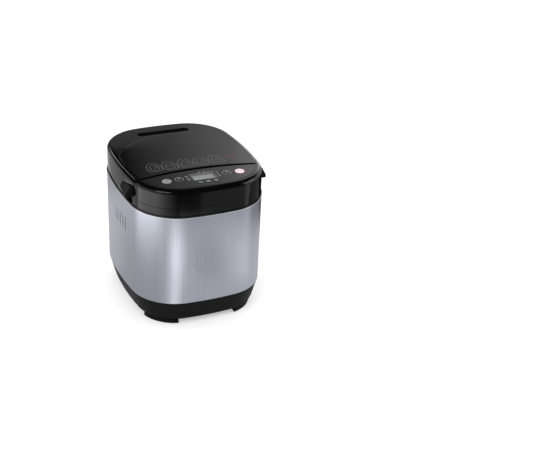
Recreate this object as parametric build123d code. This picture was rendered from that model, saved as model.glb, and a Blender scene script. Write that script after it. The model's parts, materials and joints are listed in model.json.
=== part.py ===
from build123d import *
import math
import os

# A bread machine in millimetres: +Z up, the front faces -Y, origin on the floor under the middle.

# Body outline in plan, and the heights of the stacked pieces
BODY_WIDTH = 285.0
BODY_DEPTH = 333.0
FRONT_BOW_RADIUS = 588.0
SIDE_BOW_RADIUS = 699.0
CORNER_RADIUS = 95.0
FOOT_HEIGHT = 9.5
BASE_HEIGHT = 47.8
STEEL_HEIGHT = 196.3
BAND_HEIGHT = 56.5
TOP_TILT = 2.5

# Walls and sheets
CASE_WALL = 2.5
STEEL_SHEET = 1.0
CHAMBER_SHEET = 1.0
LINER_SHEET = 1.0
CHASSIS_SHEET = 1.5
BOARD_THICKNESS = 1.6

# Clearances: fixed pieces slid together, moving pieces, and a shaft in its bush (on the radius)
SEAT_GAP = 0.3
LID_GAP = 1.0
RUNNING_FIT = 0.05

# How far a cutter runs past a face, or a joined piece into its neighbour
OVERRUN = 1.0

# Base moulding and feet
BASE_TAPER = 13.0
BASE_EDGE_RADIUS = 14.0
BASE_REVEAL = 0.5
SPIGOT_HEIGHT = 6.0
FOOT_INSET = 17.0
FOOT_DEPTH = 24.0
FOOT_INNER_X = 62.0
FOOT_INNER_Y = 92.0
PAD_THICKNESS = 3.0
PAD_PROUD = 1.5
PAD_MARGIN = 4.0
FLOOR_SLOT_LENGTH = 46.0
FLOOR_SLOT_WIDTH = 4.0
FLOOR_SLOT_PITCH = 10.0
FLOOR_SLOT_COUNT = 7

# Side vents in the steel wrap, and its rolled upper edge
VENT_COUNT = 5
VENT_PITCH = 14.5
VENT_LENGTH = 29.0
VENT_WIDTH = 2.8
VENT_CENTRE_Y = -19.0
VENT_BELOW_SPLIT = 57.0
HEM_PROUD = 0.8
HEM_HEIGHT = 2.4
HEM_ROUND = 0.5

# Top frame
FRAME_LEDGE = 2.5
FRAME_SKIRT = 12.0
APRON_HEIGHT = 16.0
APRON_GROOVE = 0.6
HARNESS_SLOT_LENGTH = 70.0
HARNESS_SLOT_WIDTH = 22.0

# Lid and front fascia, cut from one rounded cap by a slanted seam
CAP_INSET = 1.5
CAP_EDGE_RADIUS = 9.0
PANEL_DEPTH = 88.5
SEAM_RADIUS = 523.0
SEAM_SLANT = 0.26
TOP_WALL = 3.5

# Raised plate on the lid
PLATE_THICKNESS = 2.4
PLATE_PROUD = 1.6
PLATE_CHAMFER = 1.2
PLATE_GROOVE = 1.2
PLATE_EDGE = 3.0
PLATE_FRONT_EDGE = 0.6
PLATE_REAR_RADIUS = 146.0
PLATE_REAR_Y = 105.0
PLATE_CROWN = 1.2

# Steam vent
STEAM_LENGTH = 118.0
STEAM_WIDTH = 18.0
STEAM_Y = 120.0
STEAM_DEPTH = 9.0
STEAM_FLANGE = 3.0
STEAM_SKIN = 1.5
STEAM_SLOT_COUNT = 9
STEAM_SLOT_WIDTH = 5.0

# Lift grips on the sides of the lid, over hollows for the fingers
GRIP_LENGTH = 50.0
GRIP_BEHIND_SEAM = 4.5
GRIP_REACH = 9.5
GRIP_REAR_REACH = 3.5
GRIP_LIP = 4.0
GRIP_ABOVE_SPLIT = 19.0
GRIP_FRONT_RISE = 19.0
GRIP_REAR_RISE = 8.0
GRIP_ROUND = 3.0
FINGER_DEPTH = 10.0
FINGER_MARGIN = 2.0

# Lid liner
LINER_LIFT = 1.6
LINER_HEADROOM = 8.0
LINER_BOSS_RADIUS = 4.0
LINER_BOSS_X = 125.0
LINER_BOSS_FRONT_Y = -30.0
LINER_BOSS_REAR_Y = 72.0
LINER_SCREW_RADIUS = 1.5
LINER_SCREW_LENGTH = 9.0
LINER_HEAD_RADIUS = 3.0
LINER_HEAD_HEIGHT = 0.8
LINER_VENT_COUNT = 7
LINER_VENT_PITCH = 14.0
LINER_VENT_LENGTH = 12.0
LINER_VENT_WIDTH = 5.0

# Lid hinge
KNUCKLE_RADIUS = 5.0
KNUCKLE_LENGTH = 16.0
KNUCKLE_SPACING = 84.0
KNUCKLE_GAP = 0.6
HINGE_PIN_RADIUS = 2.0
HINGE_LIFT = 9.0
HINGE_RELIEF = 1.0
REAR_RIM_HEIGHT = 2.0

# Display and keys on the control panel: distances from the front of the body
OVERLAY_THICKNESS = 1.0
OVERLAY_EDGE = 3.0
OVERLAY_GROOVE = 1.0
DISPLAY_WIDTH = 48.0
DISPLAY_HEIGHT = 26.0
DISPLAY_SETBACK = 54.5
DISPLAY_LEDGE = 2.0
WINDOW_THICKNESS = 0.9
LARGE_KEY_RADIUS = 9.2
SMALL_KEY_RADIUS = 5.6
TINY_KEY_RADIUS = 4.4
LARGE_KEY_X = 76.6
SMALL_KEY_X = 50.0
TINY_KEY_X = 16.0
LARGE_KEY_SETBACK = 52.5
SMALL_KEY_SETBACK = 55.5
TINY_KEY_SETBACK = 28.0
KEY_PROUD = 1.0
KEY_GAP = 0.4
KEY_FLANGE = 1.5
KEY_FLANGE_THICKNESS = 1.2
KEY_EDGE_RADIUS = 0.6
KEY_TRAVEL = 0.8
KEY_STEM_RADIUS = 2.0
BOARD_DROP = 13.0
SWITCH_SIZE = 6.0
SWITCH_HEIGHT = 4.0
SWITCH_CORNER = 0.5
SWITCH_PLUNGER = 1.0
BOARD_WIDTH = 196.0
BOARD_DEPTH = 38.0
TONGUE_WIDTH = 52.0
TONGUE_DEPTH = 18.0
BOARD_POST_RADIUS = 3.5
BOARD_POST_EDGE = 5.0
BOARD_SCREW_RADIUS = 1.3
BOARD_SCREW_LENGTH = 7.0
BOARD_HEAD_RADIUS = 2.6
BOARD_HEAD_HEIGHT = 1.6
LCD_FRAME = 4.0

# Baking chamber
CHAMBER_WIDTH = 224.0
CHAMBER_DEPTH = 164.0
CHAMBER_CORNER = 38.0
CHAMBER_EDGE_RADIUS = 10.0
CHAMBER_FLANGE = 6.0
REAR_BAY = 40.5
COLLAR_DROP = 19.0

# Chassis under the chamber
CHASSIS_ABOVE_BASE = 5.0
CHASSIS_INSET = 8.0
POST_RADIUS = 6.0
POST_X = 92.0
POST_SETBACK = 62.0
SPACER_HEIGHT = 8.5
SPACER_RADIUS = 5.0
SPACER_X = 66.0
SPACER_Y = 44.0
SPACER_BORE = 2.2
SCREW_RADIUS = 2.0
SCREW_HEAD_RADIUS = 3.8
SCREW_HEAD_HEIGHT = 2.4

# Drive under the chamber
SHAFT_RADIUS = 5.0
BUSH_WALL = 3.0
BUSH_LENGTH = 10.0
BUSH_FLANGE = 4.0
BUSH_FLANGE_THICKNESS = 1.2
HOUSING_WALL = 6.0
HOUSING_DROP = 14.0
HOUSING_FLANGE = 14.0
HOUSING_FLANGE_THICKNESS = 4.0
DRIVEN_PULLEY_RADIUS = 44.0
MOTOR_PULLEY_RADIUS = 8.8
PULLEY_FLANGE = 3.0
PULLEY_FLANGE_THICKNESS = 1.5
PULLEY_DROP = 2.0
PULLEY_RIM = 6.0
PULLEY_WEB = 4.0
PULLEY_HUB_RADIUS = 11.0
PULLEY_HOLE_COUNT = 6
PULLEY_HOLE_RADIUS = 7.5
BELT_WIDTH = 10.0
BELT_THICKNESS = 2.2
BELT_SIDE_GAP = 0.5
CLIP_THICKNESS = 1.2
CLIP_RADIUS = 9.0
SHAFT_TAIL = 3.0
DOG_RADIUS = 19.0
DOG_DISC = 4.0
DOG_LUG_HEIGHT = 10.0
DOG_LUG_DEPTH = 9.0
DOG_LUG_WIDTH = 9.0

# Motor in the front bay
MOTOR_X = -62.0
MOTOR_SIDE = 62.0
MOTOR_CORNER = 10.0
MOTOR_STACK = 36.0
MOTOR_CAP_RADIUS = 27.0
MOTOR_LOWER_CAP = 9.0
MOTOR_UPPER_CAP = 13.0
MOTOR_SHAFT_RADIUS = 4.0
MOTOR_SHAFT_TOP = 5.0
ROTOR_RADIUS = 17.5
ROTOR_GAP = 0.5
CAPACITOR_RADIUS = 15.0
CAPACITOR_HEIGHT = 52.0
CAPACITOR_X = 6.0
CAPACITOR_CAP_HEIGHT = 4.0
POWER_BOARD_X = 72.0
POWER_BOARD_SETBACK = 64.25
POWER_BOARD_WIDTH = 72.0
POWER_BOARD_DEPTH = 58.0
STANDOFF_HEIGHT = 9.0
STANDOFF_RADIUS = 3.0
STANDOFF_EDGE = 6.0
TRANSFORMER_WIDTH = 38.0
TRANSFORMER_DEPTH = 30.0
TRANSFORMER_HEIGHT = 28.0
TRANSFORMER_EDGE_RADIUS = 4.0

# Heating element and temperature sensor
HEATER_RADIUS = 3.25
HEATER_LIFT = 36.0
HEATER_WALL_GAP = 9.0
HEATER_BEND = 30.0
HEATER_TAIL_X = 18.0
HEATER_TAIL = 15.0
INSULATOR_RADIUS = 5.5
INSULATOR_FLANGE = 3.0
INSULATOR_LENGTH = 9.0
HEATER_CLIP_WIDTH = 9.0
HEATER_CLIP_SHEET = 1.5
SENSOR_RADIUS = 3.0
SENSOR_REACH = 9.0
SENSOR_FLANGE = 4.0
SENSOR_TAIL = 12.0
SENSOR_X = 62.0
SENSOR_LIFT = 80.0

# Bread pan, its base and its bail
PAN_LENGTH = 186.0
PAN_WIDTH = 131.0
PAN_DEPTH = 150.0
PAN_CORNER = 54.0
PAN_DRAFT = 3.0
PAN_END_RADIUS = 68.0
PAN_EDGE_RADIUS = 12.0
PAN_WALL = 1.6
RIM_WIDTH = 4.0
RIM_THICKNESS = 3.0
RIB_RADIUS = 7.0
RIB_DEPTH = 4.0
RIB_TOP_DROP = 28.0
PAN_BASE_RADIUS = 32.0
PAN_BASE_HEIGHT = 30.0
PAN_BASE_WALL = 4.0
PAN_BASE_DISC = 5.0
PAN_BASE_HUB = 13.0
PAN_BASE_HUB_DROP = 11.0
PAN_NOTCH_COUNT = 4
PAN_NOTCH_WIDTH = 9.0
PAN_NOTCH_HEIGHT = 7.0
SOCKET_WALL = 6.0
SOCKET_HEIGHT = 14.0
SOCKET_GAP = 0.6
EAR_WIDTH = 22.0
EAR_SHEET = 2.5
EAR_DROP = 12.0
EAR_RISE = 7.0
BAIL_RADIUS = 2.0
BAIL_ARM = 66.0
BAIL_CORNER = 22.0
BAIL_END_BEND = 5.0
BAIL_END = 2.0

# Paddle shaft in the pan, its bush, its wing and the kneading paddle
PAN_SHAFT_RADIUS = 4.0
PAN_SHAFT_RISE = 30.0
PAN_BUSH_WALL = 3.0
PAN_BUSH_FLANGE = 5.0
PAN_BUSH_FLANGE_THICKNESS = 2.0
WING_LENGTH = 38.0
WING_WIDTH = 8.0
WING_HEIGHT = 9.0
WING_HUB_RADIUS = 8.0
WING_ABOVE_DOG = 1.5
SHAFT_FLAT = 1.0
PADDLE_LIFT = 0.6
PADDLE_HUB_RADIUS = 9.5
PADDLE_HUB_HEIGHT = 25.0
PADDLE_CROWN = 3.0
PADDLE_LENGTH = 42.0
PADDLE_HEIGHT = 39.0
PADDLE_NOSE_HEIGHT = 17.0
PADDLE_SHOULDER = 19.0
PADDLE_THICKNESS = 8.0
PADDLE_FOOT = 2.0

# Mains cord gland in the rear of the base
GLAND_X = 45.0
GLAND_HEIGHT = 20.0
GLAND_RADIUS = 8.0
GLAND_FLANGE = 3.0
GLAND_REACH = 3.0
GLAND_BORE = 3.8

# Heights and places that follow from the driving sizes
HALF_WIDTH = BODY_WIDTH / 2
HALF_DEPTH = BODY_DEPTH / 2
BASE_BOTTOM = FOOT_HEIGHT
BASE_TOP = BASE_BOTTOM + BASE_HEIGHT
SPLIT = BASE_TOP + STEEL_HEIGHT
TOP = SPLIT + BAND_HEIGHT
SLOPE = math.tan(math.radians(TOP_TILT))
COSINE = math.cos(math.radians(TOP_TILT))
SINE = math.sin(math.radians(TOP_TILT))
FAR = 2 * (BODY_WIDTH + BODY_DEPTH)
SEAM_Y = PANEL_DEPTH - HALF_DEPTH
LEDGE_TOP = SPLIT + FRAME_LEDGE
LID_BOTTOM = LEDGE_TOP + LID_GAP
APRON_TOP = LEDGE_TOP + APRON_HEIGHT

CHASSIS_BOTTOM = BASE_TOP + CHASSIS_ABOVE_BASE
CHASSIS_TOP = CHASSIS_BOTTOM + CHASSIS_SHEET
CHAMBER_BOTTOM = CHASSIS_TOP + SPACER_HEIGHT
CHAMBER_FLOOR = CHAMBER_BOTTOM + CHAMBER_SHEET
CHAMBER_TOP = SPLIT - COLLAR_DROP
CHAMBER_Y = HALF_DEPTH - REAR_BAY - CHAMBER_DEPTH / 2
CHAMBER_FRONT = CHAMBER_Y - CHAMBER_DEPTH / 2
MOTOR_Y = (CHAMBER_FRONT - CHAMBER_SHEET - HALF_DEPTH + STEEL_SHEET) / 2
BAY_Y = MOTOR_Y
POWER_BOARD_Y = POWER_BOARD_SETBACK - HALF_DEPTH

HINGE_Y = HALF_DEPTH - KNUCKLE_RADIUS
HINGE_Z = SPLIT + HINGE_Y * SLOPE + HINGE_LIFT

HEATER_TAIL_BEND = HEATER_WALL_GAP - 2 * SEAT_GAP

PAN_BOTTOM = CHAMBER_FLOOR + SEAT_GAP + PAN_BASE_HEIGHT
PAN_RIM = PAN_BOTTOM + PAN_DEPTH
BAIL_PIVOT_Z = PAN_RIM + BAIL_RADIUS + SEAT_GAP
EAR_X = PAN_LENGTH / 2 + RIM_WIDTH
BAIL_X = EAR_X + EAR_SHEET + SEAT_GAP + BAIL_END_BEND

HOUSING_RADIUS = SHAFT_RADIUS + BUSH_WALL + HOUSING_WALL
HOUSING_TOP = CHAMBER_FLOOR + SEAT_GAP
HOUSING_BOTTOM = CHASSIS_BOTTOM - HOUSING_DROP
BUSH_TOP = HOUSING_TOP + BUSH_FLANGE_THICKNESS
DOG_BOTTOM = BUSH_TOP + SEAT_GAP
DOG_TOP = DOG_BOTTOM + DOG_DISC
PULLEY_HEIGHT = BELT_WIDTH + 2 * BELT_SIDE_GAP + 2 * PULLEY_FLANGE_THICKNESS
PULLEY_TOP = HOUSING_BOTTOM - PULLEY_DROP
PULLEY_BOTTOM = PULLEY_TOP - PULLEY_HEIGHT
SHAFT_BOTTOM = PULLEY_BOTTOM - CLIP_THICKNESS - SHAFT_TAIL
WING_BOTTOM = DOG_TOP + WING_ABOVE_DOG

KEYS = {
    "menu_button": (-LARGE_KEY_X, LARGE_KEY_SETBACK, LARGE_KEY_RADIUS),
    "crust_button": (-SMALL_KEY_X, SMALL_KEY_SETBACK, SMALL_KEY_RADIUS),
    "weight_button": (SMALL_KEY_X, SMALL_KEY_SETBACK, SMALL_KEY_RADIUS),
    "start_stop_button": (LARGE_KEY_X, LARGE_KEY_SETBACK, LARGE_KEY_RADIUS),
    "minus_button": (-TINY_KEY_X, TINY_KEY_SETBACK, TINY_KEY_RADIUS),
    "light_button": (0.0, TINY_KEY_SETBACK, TINY_KEY_RADIUS),
    "plus_button": (TINY_KEY_X, TINY_KEY_SETBACK, TINY_KEY_RADIUS),
}


# Shared shapes


def outline(inset=0.0):
    """Body outline in plan, moved inward: bowed front, sides and back joined by corner arcs."""
    half_width = HALF_WIDTH - inset
    half_depth = HALF_DEPTH - inset
    front = FRONT_BOW_RADIUS - inset
    side = SIDE_BOW_RADIUS - inset
    corner = CORNER_RADIUS - inset
    front_centre = Vector(0, half_depth - front)
    side_centre = Vector(half_width - side, 0)
    reach_front = front - corner
    reach_side = side - corner
    between = side_centre - front_centre
    along = (reach_front**2 - reach_side**2 + between.length**2) / (2 * between.length)
    across = math.sqrt(reach_front**2 - along**2)
    unit = between.normalized()
    corner_centre = front_centre + unit * along + Vector(unit.Y, -unit.X) * across
    if corner_centre.X < 0:
        corner_centre = front_centre + unit * along + Vector(-unit.Y, unit.X) * across
    to_front = (corner_centre - front_centre).normalized()
    to_side = (corner_centre - side_centre).normalized()
    front_end = front_centre + to_front * front
    side_end = side_centre + to_side * side
    middle = corner_centre + (to_front + to_side).normalized() * corner
    quarter = [(0, half_depth), front_end, middle, side_end, (half_width, 0)]
    quarter = [Vector(point) for point in quarter]

    def mirrored(index, x_sign, y_sign):
        return Vector(quarter[index].X * x_sign, quarter[index].Y * y_sign)

    arcs = []
    for y_sign in (1, -1):
        ends = (mirrored(1, -1, y_sign), mirrored(0, 1, y_sign), mirrored(1, 1, y_sign))
        arcs.append(ThreePointArc(*ends))
    for x_sign in (1, -1):
        ends = (mirrored(3, x_sign, 1), mirrored(4, x_sign, 1), mirrored(3, x_sign, -1))
        arcs.append(ThreePointArc(*ends))
        for y_sign in (1, -1):
            ends = (mirrored(index, x_sign, y_sign) for index in (1, 2, 3))
            arcs.append(ThreePointArc(*ends))
    return make_face(arcs)


def column(inset, low, high):
    """The body outline as an upright prism between two levels."""
    return extrude(Pos(0, 0, low) * outline(inset), high - low)


def ring(outer_inset, inner_inset, low, high):
    """An upright wall that follows the body outline."""
    return column(outer_inset, low, high) - column(inner_inset, low - OVERRUN, high + OVERRUN)


def tilted_slab(low, high):
    """Everything between two planes that slope up towards the rear, given at the middle."""
    rise = FAR * SLOPE
    corners = [(-FAR, low - rise), (FAR, low + rise), (FAR, high + rise), (-FAR, high - rise)]
    return extrude(Plane.YZ * Polygon(*corners, align=None), FAR, both=True)


def cap(inset, low, high, radius):
    """The rounded top of the machine between two sloping planes, with its upper edge filleted."""
    block = column(CAP_INSET + inset, 0, 2 * TOP) & tilted_slab(low, high)
    return fillet(block.faces().sort_by(Axis.Z)[-1].edges(), radius)


def front_zone(offset=0.0):
    """All that lies in front of the slanted, bowed seam between the lid and the control panel."""
    radius = SEAM_RADIUS + offset
    start = TOP + BAND_HEIGHT
    disc = Pos(0, SEAM_Y - SEAM_RADIUS - SEAM_SLANT * BAND_HEIGHT, start) * Circle(radius)
    direction = Vector(0, SEAM_SLANT, -1)
    return extrude(disc, 4 * BAND_HEIGHT * direction.length, dir=direction)


def on_top(x, y, depth=0.0):
    """A place on the sloping top at plan position x, y, with its own Z along the face normal."""
    plane = Plane(origin=(0, 0, TOP), x_dir=(1, 0, 0), z_dir=(0, -SINE, COSINE))
    return plane.location * Pos(x, y / COSINE, depth)


def cylinder(radius, low, high, x=0.0, y=0.0):
    """An upright cylinder between two levels."""
    return extrude(Pos(x, y, low) * Circle(radius), high - low)


def tube(outer, inner, low, high, x=0.0, y=0.0):
    """An upright tube between two levels."""
    return extrude(Pos(x, y, low) * (Circle(outer) - Circle(inner)), high - low)


def rod_x(radius, x_low, x_high, y, z):
    """A cylinder along X."""
    return extrude(Plane.YZ * Pos(y, z, x_low) * Circle(radius), x_high - x_low)


def rod_y(radius, y_low, y_high, x, z):
    """A cylinder along Y."""
    plane = Plane(origin=(x, y_low, z), x_dir=(1, 0, 0), z_dir=(0, 1, 0))
    return extrude(plane * Circle(radius), y_high - y_low)


def rounded_block(width, depth, corner, low, high, x=0.0, y=0.0):
    """An upright block with rounded corners in plan."""
    return extrude(Pos(x, y, low) * RectangleRounded(width, depth, corner), high - low)


def span_block(x_low, x_high, y_low, y_high, z_low, z_high):
    """A plain block between two corners."""
    size = (x_high - x_low, y_high - y_low, z_high - z_low)
    return Pos(x_low, y_low, z_low) * Box(*size, align=Align.MIN)


def both_sides(shape):
    """A shape together with its mirror image across the middle."""
    return shape + mirror(shape, Plane.YZ)


def four_corners(shape):
    """A shape copied to all four quarters by mirroring."""
    pair = both_sides(shape)
    return pair + mirror(pair, Plane.XZ)


# Base, feet and steel wrap


def base_shell(extra, bottom, top):
    """The tapered bowl of the base, moved inward by a wall."""
    taper_at_bottom = BASE_TAPER + extra
    bowl = loft(
        [Pos(0, 0, bottom) * outline(taper_at_bottom), Pos(0, 0, top) * outline(BASE_REVEAL + extra)],
        ruled=True,
    )
    radius = BASE_EDGE_RADIUS - extra
    return fillet(bowl.faces().sort_by(Axis.Z)[0].edges(), radius)


def post_places():
    """Plan positions of the four chassis posts."""
    y = HALF_DEPTH - POST_SETBACK
    return [(x, y_sign * y) for x in (-POST_X, POST_X) for y_sign in (-1, 1)]


def make_base_tray():
    inside = BASE_BOTTOM + CASE_WALL
    tray = base_shell(0, BASE_BOTTOM, BASE_TOP) - base_shell(CASE_WALL, inside, BASE_TOP)
    spigot_outer = STEEL_SHEET + SEAT_GAP
    spigot_low = BASE_TOP - SPIGOT_HEIGHT
    spigot = ring(spigot_outer, spigot_outer + CASE_WALL, BASE_TOP, BASE_TOP + SPIGOT_HEIGHT)
    root = ring(BASE_REVEAL + CASE_WALL / 2, spigot_outer + CASE_WALL, spigot_low, BASE_TOP)
    tray = tray + root + spigot
    recess = SCREW_HEAD_HEIGHT + SEAT_GAP
    for x, y in post_places():
        tray += cylinder(POST_RADIUS, inside - OVERRUN, CHASSIS_BOTTOM, x, y)
    for x, y in post_places():
        tray -= cylinder(SCREW_RADIUS + SEAT_GAP, 0, TOP, x, y)
        tray -= cylinder(SCREW_HEAD_RADIUS + SEAT_GAP, 0, BASE_BOTTOM + recess, x, y)
    slot = Rot(0, 0, 90) * SlotOverall(FLOOR_SLOT_LENGTH, FLOOR_SLOT_WIDTH)
    for index in range(FLOOR_SLOT_COUNT):
        x = (index - (FLOOR_SLOT_COUNT - 1) / 2) * FLOOR_SLOT_PITCH
        tray -= extrude(Pos(x, BAY_Y, 0) * slot, BASE_BOTTOM + 2 * CASE_WALL)
    tray -= rod_y(GLAND_RADIUS, HALF_DEPTH / 2, 2 * HALF_DEPTH, GLAND_X, BASE_BOTTOM + GLAND_HEIGHT)
    return tray


def make_feet():
    pad_pocket = PAD_THICKNESS - PAD_PROUD
    quarter = span_block(FOOT_INNER_X, FAR, FOOT_INNER_Y, FAR, 0, BASE_BOTTOM)
    foot = ring(FOOT_INSET, FOOT_INSET + FOOT_DEPTH, PAD_PROUD, BASE_BOTTOM) & quarter
    foot -= pad_blank(SEAT_GAP / 2, 0, PAD_PROUD + pad_pocket)
    return four_corners(foot - base_shell(0, BASE_BOTTOM, BASE_TOP))


def pad_blank(grow, low, high):
    """One rubber pad, in the rear right quarter."""
    margin = PAD_MARGIN - grow
    block = span_block(FOOT_INNER_X + margin, FAR, FOOT_INNER_Y + margin, FAR, low, high)
    return ring(FOOT_INSET + margin, FOOT_INSET + FOOT_DEPTH - margin, low, high) & block


def make_foot_pads():
    return four_corners(pad_blank(0, 0, PAD_THICKNESS))


def make_chassis_screws():
    screws = []
    for x, y in post_places():
        seat = BASE_BOTTOM + SEAT_GAP
        head = cylinder(SCREW_HEAD_RADIUS, seat, seat + SCREW_HEAD_HEIGHT, x, y)
        screws.append(head + cylinder(SCREW_RADIUS, seat, CHASSIS_TOP + OVERRUN, x, y))
    return Compound(children=screws)


def make_steel_wrap():
    wrap = ring(0, STEEL_SHEET, BASE_TOP, TOP) & tilted_slab(0, SPLIT)
    hem = column(-HEM_PROUD, BASE_TOP, 2 * TOP) & tilted_slab(SPLIT - HEM_HEIGHT, SPLIT)
    levels = hem.faces().sort_by(Axis.Z)
    hem = fillet(levels[0].edges() + levels[-1].edges(), HEM_ROUND)
    wrap += hem - column(STEEL_SHEET, 0, 2 * TOP)
    slot = Rot(0, 0, 90) * SlotOverall(VENT_LENGTH, VENT_WIDTH)
    for index in range(VENT_COUNT):
        y = VENT_CENTRE_Y + (index - (VENT_COUNT - 1) / 2) * VENT_PITCH
        wrap -= extrude(Plane.YZ * Pos(y, SPLIT - VENT_BELOW_SPLIT) * slot, FAR, both=True)
    return wrap


# Top frame, hinge and front fascia


def knuckle_spans():
    """X spans of a frame knuckle and of the lid knuckle beside it, on the right-hand side."""
    start = (KNUCKLE_SPACING - KNUCKLE_LENGTH) / 2
    middle = start + KNUCKLE_LENGTH
    return (start, middle), (middle + KNUCKLE_GAP, middle + KNUCKLE_GAP + KNUCKLE_LENGTH)


def mouth(extra, low, high):
    """The opening over the baking chamber as a prism, widened by a wall."""
    width = CHAMBER_WIDTH + 2 * extra
    depth = CHAMBER_DEPTH + 2 * extra
    return rounded_block(width, depth, CHAMBER_CORNER + extra, low, high, 0, CHAMBER_Y)


def make_top_frame():
    plate = column(0, 0, 2 * TOP) & tilted_slab(SPLIT, LEDGE_TOP)
    skirt_inset = STEEL_SHEET + SEAT_GAP
    skirt = ring(skirt_inset, skirt_inset + CASE_WALL, CHAMBER_TOP, TOP)
    skirt &= tilted_slab(SPLIT - FRAME_SKIRT, LEDGE_TOP)
    collar = mouth(CASE_WALL, CHAMBER_TOP, TOP) & tilted_slab(0, LEDGE_TOP)
    apron = ring(CAP_INSET, CAP_INSET + CASE_WALL, CHAMBER_TOP, TOP) & front_zone()
    apron &= tilted_slab(SPLIT, APRON_TOP)
    frame = plate + skirt + collar + apron - mouth(0, 0, 2 * TOP)
    harness = Pos(0, BAY_Y, 0) * SlotOverall(HARNESS_SLOT_LENGTH, HARNESS_SLOT_WIDTH)
    frame -= extrude(harness, 2 * TOP)
    (inner, outer), _ = knuckle_spans()
    barrel = rod_x(KNUCKLE_RADIUS, inner, outer, HINGE_Y, HINGE_Z)
    tower_front = HINGE_Y - KNUCKLE_RADIUS
    tower_rear = HINGE_Y + KNUCKLE_RADIUS / 2
    rim_low = SPLIT + FRAME_LEDGE / 2
    tower = span_block(inner, outer, tower_front, tower_rear, 0, HINGE_Z) & tilted_slab(rim_low, TOP)
    rim = span_block(-inner, inner, HINGE_Y - KNUCKLE_RADIUS / 2, 2 * HALF_DEPTH, 0, 2 * TOP)
    rim &= column(CAP_INSET, 0, 2 * TOP) & tilted_slab(rim_low, LEDGE_TOP + REAR_RIM_HEIGHT)
    frame = frame + both_sides(barrel + tower) + rim
    return frame - rod_x(HINGE_PIN_RADIUS, -FAR, FAR, HINGE_Y, HINGE_Z)


def make_hinge_pins():
    (inner, _), (_, outer) = knuckle_spans()
    return both_sides(rod_x(HINGE_PIN_RADIUS, inner, outer, HINGE_Y, HINGE_Z))


def key_place(setback, x, depth=0.0):
    return on_top(x, setback - HALF_DEPTH, depth)


def overlay_blank(grow, low, high):
    """The inlaid sheet of the control panel: the top face of the fascia less an even margin."""
    edge = CAP_INSET + CAP_EDGE_RADIUS + OVERLAY_EDGE - grow
    block = column(edge, 0, 2 * TOP) & tilted_slab(low, high)
    return block & front_zone(grow - OVERLAY_EDGE)


def display_hole(grow, low, high):
    """A rectangular well under the display, square to the sloping top."""
    sketch = RectangleRounded(DISPLAY_WIDTH + 2 * grow, DISPLAY_HEIGHT + 2 * grow, DISPLAY_LEDGE)
    return key_place(DISPLAY_SETBACK, 0, low) * extrude(sketch, high - low)


def board_post_places():
    """Places on the top face over the four screws of the control board."""
    x = BOARD_WIDTH / 2 - BOARD_POST_EDGE
    y = BOARD_DEPTH / 2 - BOARD_POST_EDGE
    return [(sign_x * x, DISPLAY_SETBACK + sign_y * y) for sign_x in (-1, 1) for sign_y in (-1, 1)]


def make_front_fascia():
    outer = cap(0, LEDGE_TOP, TOP, CAP_EDGE_RADIUS) & front_zone()
    hollow = cap(CASE_WALL, 0, TOP - TOP_WALL, CAP_EDGE_RADIUS - CASE_WALL) & front_zone(-CASE_WALL)
    fascia = outer - hollow
    apron_room = ring(0, CAP_INSET + CASE_WALL + SEAT_GAP, 0, 2 * TOP)
    fascia -= apron_room & tilted_slab(SPLIT, APRON_TOP + APRON_GROOVE)
    for x, setback in board_post_places():
        post = extrude(Circle(BOARD_POST_RADIUS), BOARD_DROP - TOP_WALL / 2)
        fascia += key_place(setback, x, -BOARD_DROP) * post
    for x, setback in board_post_places():
        pilot = extrude(Circle(BOARD_SCREW_RADIUS), BOARD_SCREW_LENGTH)
        fascia -= key_place(setback, x, -BOARD_DROP) * pilot
    fascia -= overlay_blank(OVERLAY_GROOVE, TOP - OVERLAY_THICKNESS, TOP + CAP_EDGE_RADIUS)
    fascia -= display_hole(-DISPLAY_LEDGE, -2 * TOP_WALL, TOP_WALL)
    for x, setback, radius in KEYS.values():
        hole = extrude(Circle(radius + KEY_GAP), 4 * TOP_WALL)
        fascia -= key_place(setback, x, -2 * TOP_WALL) * hole
    return fascia


def make_panel_overlay():
    overlay = overlay_blank(0, TOP - OVERLAY_THICKNESS, TOP)
    overlay -= display_hole(SEAT_GAP / 2, -TOP_WALL, TOP_WALL)
    for x, setback, radius in KEYS.values():
        hole = extrude(Circle(radius + KEY_GAP), 2 * TOP_WALL)
        overlay -= key_place(setback, x, -TOP_WALL) * hole
    return overlay


def make_display_window():
    seat = -OVERLAY_THICKNESS * COSINE
    return display_hole(0, seat, seat + WINDOW_THICKNESS)


def make_lcd_module():
    body = display_hole(LCD_FRAME, -BOARD_DROP, -TOP_WALL - SEAT_GAP)
    return body - display_hole(-DISPLAY_LEDGE, -TOP_WALL - 2 * SEAT_GAP, 0)


def make_control_board():
    main = Rectangle(BOARD_WIDTH, BOARD_DEPTH)
    tongue = Rectangle(TONGUE_WIDTH, TONGUE_DEPTH + OVERRUN, align=(Align.CENTER, Align.MAX))
    tongue = Pos(0, OVERRUN - BOARD_DEPTH / 2) * tongue
    sheet = extrude(main + tongue, BOARD_THICKNESS)
    board = key_place(DISPLAY_SETBACK, 0, -BOARD_DROP - BOARD_THICKNESS) * sheet
    for x, setback in board_post_places():
        hole = extrude(Circle(BOARD_SCREW_RADIUS + SEAT_GAP), 4 * BOARD_THICKNESS)
        board -= key_place(setback, x, -BOARD_DROP - 2 * BOARD_THICKNESS) * hole
    return board


def make_board_screws():
    screws = []
    for x, setback in board_post_places():
        shank = extrude(Circle(BOARD_SCREW_RADIUS), BOARD_SCREW_LENGTH + BOARD_THICKNESS)
        head = Pos(0, 0, -BOARD_HEAD_HEIGHT) * extrude(Circle(BOARD_HEAD_RADIUS), BOARD_HEAD_HEIGHT)
        screws.append(key_place(setback, x, -BOARD_DROP - BOARD_THICKNESS) * (head + shank))
    return Compound(children=screws)


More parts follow.
